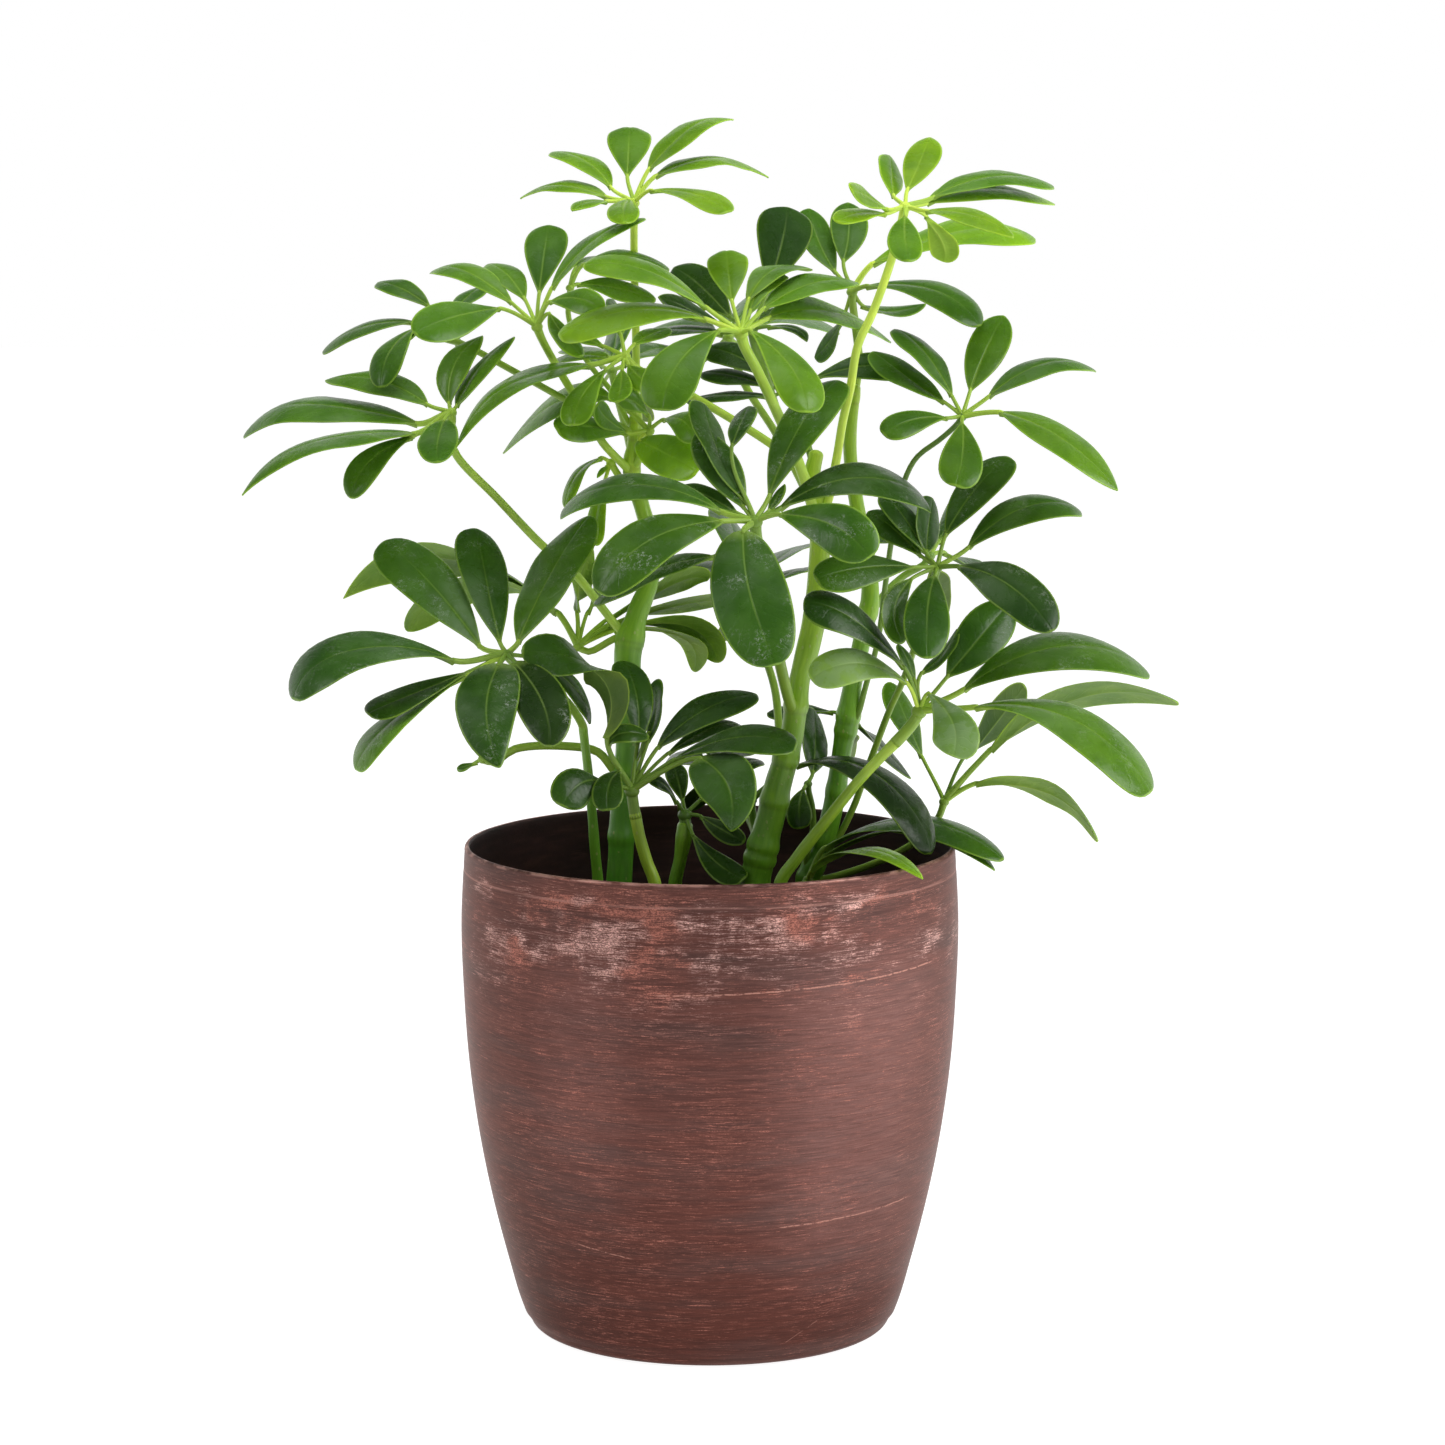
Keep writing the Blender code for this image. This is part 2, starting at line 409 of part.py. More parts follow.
def stem_at(name, v):
    """Centre, radius, depth and direction of a stem where it crosses row v."""
    pts = STEMS[name]
    if v > pts[0][1]:
        u, vv, y, r = pts[0]
        return at(u, v, y), r, y, np.array([0.0, 0.0, 1.0])
    for (u0, v0, y0, r0), (u1, v1, y1, r1) in zip(pts, pts[1:]):
        if v1 <= v <= v0:
            k = (v0 - v) / (v0 - v1)
            t = unit(at(u1, v1, y1) - at(u0, v0, y0))
            return at(u0 + k*(u1-u0), v, y0 + k*(y1-y0)), r0 + k*(r1-r0), y0 + k*(y1-y0), t
    (u0, v0, y0, r0), (u, vv, y, r) = pts[-2:]
    return at(u, vv, y), r, y, unit(at(u, vv, y) - at(u0, v0, y0))


def place(H, c, e1, e2, uv, s0, b0, ss, sb, sk):
    """The point near H + s0*c + b0*e1 that is seen at uv."""
    x0 = np.array([s0, b0, 0.0])
    x = x0.copy()
    sig = np.array([ss, sb, sk])
    dirs = (c, e1, e2)
    for _ in range(5):
        P = H + x[0]*c + x[1]*e1 + x[2]*e2
        q, w = seen(P)
        k = FOC / w
        J = np.array([[k * (d @ RGT) for d in dirs], [-k * (d @ UPV) for d in dirs]])
        A = np.vstack([J, np.diag(1.0 / sig)])
        y = np.concatenate([np.array(uv, float) - q, (x0 - x) / sig])
        x = x + np.linalg.lstsq(A, y, rcond=None)[0]
    return H + x[0]*c + x[1]*e1 + x[2]*e2


def turned(a, n, deg):
    k = math.radians(deg)
    return math.cos(k)*a + math.sin(k)*n


class Blade:
    """One leaflet: centre line B-M-T as a parabola, width, roll and twist."""

    def __init__(self, H, N, spec):
        tip, mid, base, w, R, s, marks = spec[:7]
        form = spec[7] if len(spec) > 7 else {}
        self.marks, self.form = marks, form
        flags = marks.split("t")
        self.twist = float(flags[1]) if len(flags) > 1 else 0.0
        flags = flags[0]
        self.under = "u" in flags
        d = ray(*tip)
        q = H - CAM
        a = q @ d
        perp = float(np.linalg.norm(q - a*d))
        R = max(R, 1.03 * perp)
        T = CAM + d * (a + s * math.sqrt(R*R - perp*perp))
        c = T - H
        L = float(np.linalg.norm(c))
        e1 = unit(N - (N @ c) * c / (L*L))
        e2 = unit(np.cross(c, e1))
        B = place(H, c, e1, e2, base, 0.18, 0.03*L, 0.07, 0.05*L, 0.04*L)
        M = place(H, c, e1, e2, mid, 0.58, 0.09*L, 0.09, 0.09*L, 0.05*L)
        self.H, self.B, self.M, self.T, self.N, self.R = H, B, M, T, N, R
        self.Q = 2*M - 0.5*(B + T)
        self.D = np.zeros(3)
        if "q" in form:
            near = self.point(0.8)
            (u, v), w80 = seen(near)
            self.D = (RGT*(form["q"][0] - u) - UPV*(form["q"][1] - v)) * (w80 / FOC)
        ts = np.linspace(0, 1, 17)
        pts = np.array([self.point(t) for t in ts])
        self.len = float(np.sum(np.linalg.norm(np.diff(pts, axis=0), axis=1)))
        cb = T - B
        self.a0 = unit(np.cross(cb, N))
        tm = unit(self.tangent(0.5))
        a_m = unit(self.a0 - (self.a0 @ tm) * tm)
        n_m = np.cross(a_m, tm)
        view = unit(M - CAM)
        k = FOC / seen(M)[1]
        t2 = np.array([tm @ RGT, -(tm @ UPV)])
        t2 = t2 / max(1e-6, float(np.linalg.norm(t2)))
        best = (1e9, 0, 0.39)
        sg = -1.0 if self.under else 1.0
        ratios = np.linspace(0.32, 0.50, 10)
        if "n" in flags:
            ratios = np.linspace(0.28, 0.34, 4)
        if "m" in flags:
            ratios = np.linspace(0.23, 0.26, 3)
        for ratio in ratios:
            for phi in range(-84, 85, 2):
                a = turned(a_m, n_m, phi)
                n = np.cross(a, tm)
                side = -(n @ view) * sg
                a2 = np.array([a @ RGT, -(a @ UPV)])
                pw = k * ratio * self.len * abs(a2[0]*t2[1] - a2[1]*t2[0])
                cost = ((pw - w)/2.0)**2 + (phi/30.0)**2 + ((ratio - 0.40)/0.05)**2
                if side < 0.03:
                    cost += 30.0 + 60.0*(0.03 - side)
                if cost < best[0]:
                    best = (cost, phi, ratio, pw)
        self.cost, self.phi, ratio, pw = best
        self.width = ratio * self.len
        if pw < 0.94 * w:
            self.width *= min(1.4, w / max(pw, 1.0))
        self.width = form.get("wd", self.width)
        self.want = w
        self.alpha, self.beta = 0.85, 0.52
        if "b" in flags:
            self.alpha, self.beta = 0.95, 0.40
        if "p" in flags:
            self.alpha, self.beta = 0.85, 0.80
        if "e" in flags:
            self.alpha, self.beta = 1.0, 0.34
        self.alpha, self.beta = form.get("a", self.alpha), form.get("b", self.beta)
        ta = self.alpha / (self.alpha + self.beta)
        self.norm = ta**self.alpha * (1-ta)**self.beta

    def point(self, t):
        return (1-t)**2 * self.B + 2*t*(1-t) * self.Q + t*t * self.T + self.D * (12.2*t**4*(1-t))

    def tangent(self, t):
        return 2*(1-t) * (self.Q - self.B) + 2*t * (self.T - self.Q) + self.D * (12.2*(4*t**3 - 5*t**4))

    def frame(self, t):
        """Point, along, across (to the right), normal (upper side)."""
        tt = unit(self.tangent(t))
        a = unit(self.a0 - (self.a0 @ tt) * tt)
        n = np.cross(a, tt)
        roll = self.phi * min(1.0, 0.35 + 1.3*t) + self.twist * max(0.0, (t - 0.45)/0.55)
        a = turned(a, n, roll)
        return self.point(t), tt, a, np.cross(a, tt)

    def half(self, t):
        t = min(max(t, 0.0), 1.0)
        return 0.5 * self.width * (t**self.alpha * (1-t)**self.beta) / self.norm


class Leaf:
    """A compound leaf: hub, axis, leaflets and stalk down to its stem."""

    def __init__(self, key):
        d = LEAVES[key]
        self.key, self.spec = key, d
        u, v, y = d["hub"]
        self.H = at(u, v, y)
        self.N = leaf_axis(d["n"])
        self.r = d["r"]
        self.blades = [Blade(self.H, self.N, s) for s in d["lf"]]
        # stalk: hub, via points and the stem's surface
        stem, us, vs = d["on"][:3]
        C, rs, ys, ts = stem_at(stem, vs)
        path = [(u, v)] + [p[:2] for p in d["via"]] + [(us, vs)]
        cum = [0.0]
        for a, b in zip(path, path[1:]):
            cum.append(cum[-1] + math.hypot(a[0]-b[0], a[1]-b[1]))
        pts = [self.H]
        for p, q, s in zip(d["via"], path[1:-1], cum[1:-1]):
            yy = p[2] if len(p) > 2 else y + (ys - y) * s / cum[-1]
            pts.append(at(q[0], q[1], yy))
        self.top = len(d["on"]) > 3
        if self.top:
            self.toward = ts
        else:
            w = pts[-1] - C
            self.toward = unit(w - (w @ ts)*ts)
        self.stem, self.C, self.rs, self.along = stem, C, rs, ts
        self.path = pts


def transport(X, t0, t1):
    """Turn X by the smallest turn that takes t0 to t1."""
    ax = np.cross(t0, t1)
    s = float(np.linalg.norm(ax))
    c = float(t0 @ t1)
    if s < 1e-9:
        return X
    ax = ax / s
    return X*c + np.cross(ax, X)*s + ax*(ax @ X)*(1-c)


GAP = 0.35


def hub_sides(leaf):
    """Sides of the hub counted round its axis: leaflet index or None."""
    N = leaf.N
    X = unit(np.cross([0.0, 1.0, 0.0], N))
    Y = np.cross(N, X)
    az = []
    for i, b in enumerate(leaf.blades):
        d = b.B - leaf.H
        az.append((math.atan2(d @ Y, d @ X) % (2*math.pi), i))
    az.sort()
    out = []
    for k, (a, i) in enumerate(az):
        out.append((a, i))
        nxt = az[(k+1) % len(az)][0] + (2*math.pi if k == len(az)-1 else 0.0)
        gap = nxt - a
        extra = int(gap // math.radians(105)) if len(az) > 1 else 3
        for e in range(extra):
            out.append((a + gap*(e+1)/(extra+1), None))
    m = len(out)
    mids = []
    for k in range(m):
        a, b = out[k-1][0], out[k][0]
        while b < a:
            b += 2*math.pi
        mid = 0.5*(a+b)
        mids.append(mid)
    # unwrap
    for k in range(1, m):
        while mids[k] < mids[k-1]:
            mids[k] += 2*math.pi
        while mids[k] - mids[k-1] > 2*math.pi:
            mids[k] -= 2*math.pi
    off = sum(mids[k] - 2*math.pi*k/m for k in range(m)) / m
    ang = [0.5*mids[k] + 0.5*(off + 2*math.pi*k/m) for k in range(m)]
    return X, Y, ang, [i for a, i in out]


def leaf_solid(leaf):
    """Closed solid of a compound leaf: vertices and faces."""
    V, F = [], []

    def put(ring):
        k = len(V)
        V.extend([np.asarray(p, float) for p in ring])
        return list(range(k, k+len(ring)))

    X, Y, ang, sides = hub_sides(leaf)
    m = len(sides)
    N, H = leaf.N, leaf.H
    rh = max(1.9, 0.24*m, leaf.r + 0.4)
    top = put([H + 0.9*N + rh*(math.cos(a)*X + math.sin(a)*Y) for a in ang])
    bot = put([H - 0.9*N + rh*(math.cos(a)*X + math.sin(a)*Y) for a in ang])
    F.append(top)
    for k in range(m):
        j = (k+1) % m
        start = [top[j], top[k], bot[k], bot[j]]
        i = sides[k]
        if i is None:
            F.append(start)
            continue
        b = leaf.blades[i]
        rings = []
        for t, h, th in ((0.0, 0.8, 0.5), (0.2, None, 0.38), (0.5, None, 0.36), (0.8, None, 0.34), (1.0, -1, 0.3)):
            P, tt, a, n = b.frame(t)
            if h is None:
                h = b.half(t)
            elif h < 0:
                h = max(0.35, b.half(0.93)*0.42)
                P = P - tt*0.15
            rings.append([P - a*h + n*th, P + a*h + n*th, P + a*h - n*th, P - a*h - n*th])
        prev = start
        for r in rings:
            cur = put(r)
            for q in range(4):
                p = (q+1) % 4
                F.append([prev[q], prev[p], cur[p], cur[q]])
            prev = cur
        F.append(prev)
    # stalk
    if leaf.top:
        end = leaf.C + leaf.toward*GAP
        last = -leaf.toward
    else:
        end = leaf.C + leaf.toward*(leaf.rs + GAP + leaf.r)
        last = unit(unit(end - leaf.path[-1]) - leaf.toward)
    pts = [H - 0.9*N] + leaf.path[1:] + [end]
    # first bend just below the hub
    first = unit(pts[1] - H)
    down = unit(first*0.7 - N*0.6)
    nxt = H - 0.9*N + down*min(3.2, 0.4*float(np.linalg.norm(pts[1]-H)))
    pts = [pts[0], nxt] + pts[1:]
    prev, tp, Xp, Yp = bot, -N, X, Y
    for q in range(1, len(pts)):
        if q < len(pts)-1:
            tq = unit(unit(pts[q] - pts[q-1]) + unit(pts[q+1] - pts[q]))
        else:
            tq = last
        Xp = transport(Xp, tp, tq)
        Yp = transport(Yp, tp, tq)
        tp = tq
        cur = put([pts[q] + leaf.r*(math.cos(a)*Xp + math.sin(a)*Yp) for a in ang])
        for k in range(m):
            j = (k+1) % m
            F.append([prev[j], prev[k], cur[k], cur[j]])
        prev = cur
    F.append(prev[::-1])
    return V, F


def tube_solid(pts, rad, n=8):
    """Closed tube along points with radii."""
    V, F = [], []
    X = np.array([1.0, 0.0, 0.0])
    tp = None
    prev = None
    for q, (P, r) in enumerate(zip(pts, rad)):
        if q == 0:
            tq = unit(pts[1] - pts[0])
        elif q == len(pts)-1:
            tq = unit(pts[-1] - pts[-2])
        else:
            tq = unit(unit(P - pts[q-1]) + unit(pts[q+1] - P))
        X = X - (X @ tq)*tq if tp is None else transport(X, tp, tq)
        X = unit(X)
        Y = np.cross(tq, X)
        tp = tq
        k = len(V)
        V.extend([P + r*(math.cos(2*math.pi*i/n)*X + math.sin(2*math.pi*i/n)*Y) for i in range(n)])
        cur = list(range(k, k+n))
        if prev is not None:
            for i in range(n):
                j = (i+1) % n
                F.append([prev[i], prev[j], cur[j], cur[i]])
        else:
            F.append(cur[::-1])
        prev = cur
    F.append(prev)
    return V, F


def stem_solid(name):
    pts = [p for p, r in stem_points(name)]
    rad = [r for p, r in stem_points(name)]
    foot = pts[0].copy()
    foot[2] = SOIL_Z - 9.0
    low = pts[0].copy()
    low[2] = min(low[2], SOIL_Z + 2.0)
    if pts[0][2] > SOIL_Z + 3.0:
        pts = [foot, low] + pts
        rad = [rad[0]*1.05, rad[0]*1.05] + rad
    else:
        pts = [foot, low] + pts[1:]
        rad = [rad[0]*1.05, rad[0]*1.05] + rad[1:]
    return tube_solid(pts, rad)


POT_FLOOR = 5.0
SOIL_GAP = 0.3


def inner_radius(z):
    """Inside radius of the pot at height z."""
    return pot_radius(z) - (1.6 + 1.4*max(0.0, min(1.0, (160.0 - z)/60.0)))


def lathe(profile, n, caps=True):
    """Solid of revolution about Z from (r, z) points going from the axis out and back to it."""
    V, F = [], []
    rings = []
    for r, z in profile:
        if r < 1e-9:
            V.append(np.array([0.0, 0.0, z]))
            rings.append([len(V)-1])
        else:
            k = len(V)
            V.extend([np.array([r*math.cos(2*math.pi*i/n), r*math.sin(2*math.pi*i/n), z]) for i in range(n)])
            rings.append(list(range(k, k+n)))
    for a, b in zip(rings, rings[1:]):
        for i in range(n):
            j = (i+1) % n
            if len(a) == 1:
                F.append([a[0], b[j], b[i]])
            elif len(b) == 1:
                F.append([a[i], a[j], b[0]])
            else:
                F.append([a[i], a[j], b[j], b[i]])
    return V, F


def pot_profile():
    """From the middle of the foot out, up the wall, over the lip, down inside."""
    p = [(0.0, 0.0), (57.6, 0.0), (59.9, 0.8), (61.9, 3.0)]
    for k in (0.06, 0.14, 0.25, 0.4, 0.55, 0.7, 0.85, 0.95):
        p.append((pot_radius(k*POT_H), k*POT_H))
    p += [(82.55, 163.9), (82.1, 164.9), (81.3, 164.9), (80.85, 163.8)]
    for z in (158.0, 140.0, 118.0, 92.0, 66.0, 42.0, 23.0, 11.0):
        p.append((inner_radius(z), z))
    p += [(inner_radius(9.0) - 2.4, 6.2), (inner_radius(9.0) - 5.5, POT_FLOOR), (0.0, POT_FLOOR)]
    return p


def soil_profile():
    """Potting mix from the floor of the pot to a slightly mounded top."""
    b = POT_FLOOR + SOIL_GAP
    p = [(0.0, b), (inner_radius(9.0) - 6.0, b), (inner_radius(11.0) - 1.2, 11.4)]
    for z in (23.0, 42.0, 66.0, 92.0, 118.0):
        p.append((inner_radius(z) - 0.45, z))
    p += [(inner_radius(134.6) - 0.6, 134.6), (72.0, 135.6), (50.0, 136.5), (0.0, 136.9)]
    return p


# ---------------------------------------------------------------------------
# Solids
# ---------------------------------------------------------------------------
def material(name, colour, rough, metal=0.0):
    m = bpy.data.materials.new(name)
    m.use_nodes = True
    b = m.node_tree.nodes["Principled BSDF"]
    b.inputs["Base Color"].default_value = (*colour, 1.0)
    b.inputs["Roughness"].default_value = rough
    b.inputs["Metallic"].default_value = metal
    m.diffuse_color = (*colour, 1.0)
    return m


def make(name, V, F, mat, smooth=True):
    me = bpy.data.meshes.new(name)
    me.from_pydata([tuple(float(c)*0.001 for c in p) for p in V], [], [list(map(int, f)) for f in F])
    me.update()
    bm = bmesh.new()
    bm.from_mesh(me)
    bmesh.ops.recalc_face_normals(bm, faces=bm.faces[:])
    bmesh.ops.triangulate(bm, faces=bm.faces[:])
    bm.to_mesh(me)
    bm.free()
    if smooth:
        for p in me.polygons:
            p.use_smooth = True
    ob = bpy.data.objects.new(name, me)
    bpy.context.scene.collection.objects.link(ob)
    me.materials.append(material(name, *mat))
    return ob


def leaf_green(age):
    a, b = (0.20, 0.36, 0.05), (0.035, 0.10, 0.03)
    return tuple(a[i]*(1-age) + b[i]*age for i in range(3))


planter = make("planter", *lathe(pot_profile(), 48), ((0.16, 0.075, 0.055), 0.42, 0.6))
soil = make("potting_mix", *lathe(soil_profile(), 48), ((0.035, 0.022, 0.015), 0.95))

for name in STEMS:
    make(name, *stem_solid(name), ((0.16, 0.22, 0.06), 0.6))

# holes in the soil for the feet of the stems
for name in STEMS:
    P, r = stem_points(name)[0]
    V, F = tube_solid([np.array([P[0], P[1], SOIL_Z - 9.4]), np.array([P[0], P[1], SOIL_Z + 8.0])],
                      [(r*1.05 + 0.35)/math.cos(math.pi/10)]*2, 10)
    cut = make("hole_" + name, V, F, ((0.5, 0.5, 0.5), 0.5), False)
    cut.hide_render = True
    cut.display_type = "WIRE"
    md = soil.modifiers.new("hole_" + name, "BOOLEAN")
    md.operation = "DIFFERENCE"
    md.solver = "EXACT"
    md.object = cut

for key in LEAVES:
    leaf = Leaf(key)
    make("leaf_" + key.lower(), *leaf_solid(leaf), (leaf_green(LEAVES[key]["age"]), 0.4))
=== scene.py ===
"""Looks of the potted dwarf umbrella tree: fine leaves, bark, soil, pot, light and camera."""
import math
import random

import bmesh
import bpy
import numpy as np
from mathutils import Matrix, Vector, noise


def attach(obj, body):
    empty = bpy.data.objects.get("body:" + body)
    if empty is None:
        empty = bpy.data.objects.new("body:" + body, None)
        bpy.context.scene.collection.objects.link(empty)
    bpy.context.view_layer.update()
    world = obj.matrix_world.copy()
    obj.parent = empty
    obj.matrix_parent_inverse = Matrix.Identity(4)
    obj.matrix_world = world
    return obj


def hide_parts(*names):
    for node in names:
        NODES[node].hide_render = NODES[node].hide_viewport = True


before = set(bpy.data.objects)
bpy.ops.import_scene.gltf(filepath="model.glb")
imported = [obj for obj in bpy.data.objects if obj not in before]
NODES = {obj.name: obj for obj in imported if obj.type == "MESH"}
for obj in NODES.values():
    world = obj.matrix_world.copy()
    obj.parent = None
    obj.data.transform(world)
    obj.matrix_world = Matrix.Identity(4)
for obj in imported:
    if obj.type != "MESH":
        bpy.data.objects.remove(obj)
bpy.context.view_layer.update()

# ---------------------------------------------------------------------------
# Sight lines.  Sizes are in millimetres with the origin at the middle of the
# pot's flat bottom, +Z up and the front of the plant towards -Y.  A landmark
# (u, v) is a direction seen from one viewing point in front of the plant, and
# its distance back from the pot's axis is given by y.
# ---------------------------------------------------------------------------
FOC = 4503.1
PITCH = math.radians(7.916)
CAM = np.array([4.24, -1498.2, 414.1])
CP, SP = math.cos(PITCH), math.sin(PITCH)
FWD = np.array([0.0, CP, -SP])
UPV = np.array([0.0, SP, CP])
RGT = np.array([1.0, 0.0, 0.0])


def ray(u, v):
    d = FWD + RGT * ((u - 722.5) / FOC) - UPV * ((v - 722.5) / FOC)
    return d / np.linalg.norm(d)


def at(u, v, y):
    """The point on the sight line (u, v) that lies at depth y."""
    d = ray(u, v)
    return CAM + d * ((y - CAM[1]) / d[1])


def seen(p):
    """Where a point is seen: (u, v) and its distance along the view."""
    q = np.asarray(p, float) - CAM
    w = q @ FWD
    return np.array([722.5 + FOC * (q @ RGT) / w, 722.5 - FOC * (q @ UPV) / w]), w


def unit(a):
    a = np.asarray(a, float)
    return a / max(1e-9, np.linalg.norm(a))


# ---------------------------------------------------------------------------
# Pot and soil sizes
# ---------------------------------------------------------------------------
POT_H = 164.9
POT_R = [(0.0, 61.2), (0.06, 64.94), (0.14, 68.64), (0.25, 73.26), (0.4, 78.2),
         (0.55, 81.52), (0.7, 83.22), (0.85, 83.85), (0.95, 83.05), (1.0, 82.5)]
SOIL_Z = 136.5


def pot_radius(z):
    h = min(1.0, max(0.0, z / POT_H))
    xs = [a for a, b in POT_R]
    ys = [b for a, b in POT_R]
    return float(np.interp(h, xs, ys))


# ---------------------------------------------------------------------------
# Stems: name -> list of (u, v, y, radius).  The first point is carried on down
# into the soil.
# ---------------------------------------------------------------------------
STEMS = {
    "main_left": [(619, 884, 2, 4.4), (621, 850, 2, 4.3), (622, 815, 2, 4.1), (626, 770, 2, 4.0),
                  (628, 740, 2, 4.1), (629, 700, 2, 4.2), (628, 652, 2, 4.6), (638, 612, 3, 3.6), (650, 580, 5, 3.0),
                  (652, 545, 8, 2.8), (642, 507, 9, 2.7), (632, 472, 9, 2.8), (635, 440, 9, 2.5), (636, 412, 10, 1.9)],
    "main_centre": [(755, 884, -6, 5.1), (764, 842, -6, 5.0), (772, 812, -6, 4.8), (778, 785, -6, 4.5),
                    (786, 758, -6, 4.1), (792, 735, -5, 3.9), (796, 705, -4, 3.8), (800, 678, -3, 3.5),
                    (807, 652, -2, 3.9), (814, 620, -1, 3.9), (818, 580, 0, 3.6), (820, 540, 1, 3.4), (819, 505, 2, 3.0),
                    (812, 478, 2, 2.8), (816, 455, 2, 2.5)],
    "main_right": [(806, 884, 24, 3.8), (822, 848, 23, 3.6), (832, 812, 22, 3.5), (837, 785, 22, 3.4),
                   (842, 750, 22, 3.3), (849, 712, 22, 3.9), (853, 682, 22, 3.2), (862, 640, 22, 3.0), (870, 598, 22, 3.1),
                   (867, 555, 22, 2.7), (856, 500, 22, 2.5), (850, 450, 22, 2.3), (852, 412, 23, 2.1), (855, 388, 24, 1.8)],
    "shoot_left": [(598, 884, -12, 1.8), (595, 850, -13, 1.7), (592, 812, -14, 1.6), (588, 770, -16, 1.5),
                   (583, 728, -19, 1.5)],
    "shoot_front": [(655, 884, -30, 2.1), (647, 862, -30, 2.0), (640, 838, -30, 1.9), (635, 814, -30, 2.0)],
    "shoot_middle": [(675, 884, 6, 2.3), (680, 860, 6, 2.2), (684, 836, 6, 2.9), (685, 826, 6, 2.7)],
    "shoot_right": [(780, 884, -28, 2.1), (797, 858, -29, 2.0), (822, 826, -30, 1.9), (846, 796, -31, 1.8),
                    (862, 777, -32, 1.8), (881, 757, -33, 1.8), (898, 740, -34, 2.0)],
}



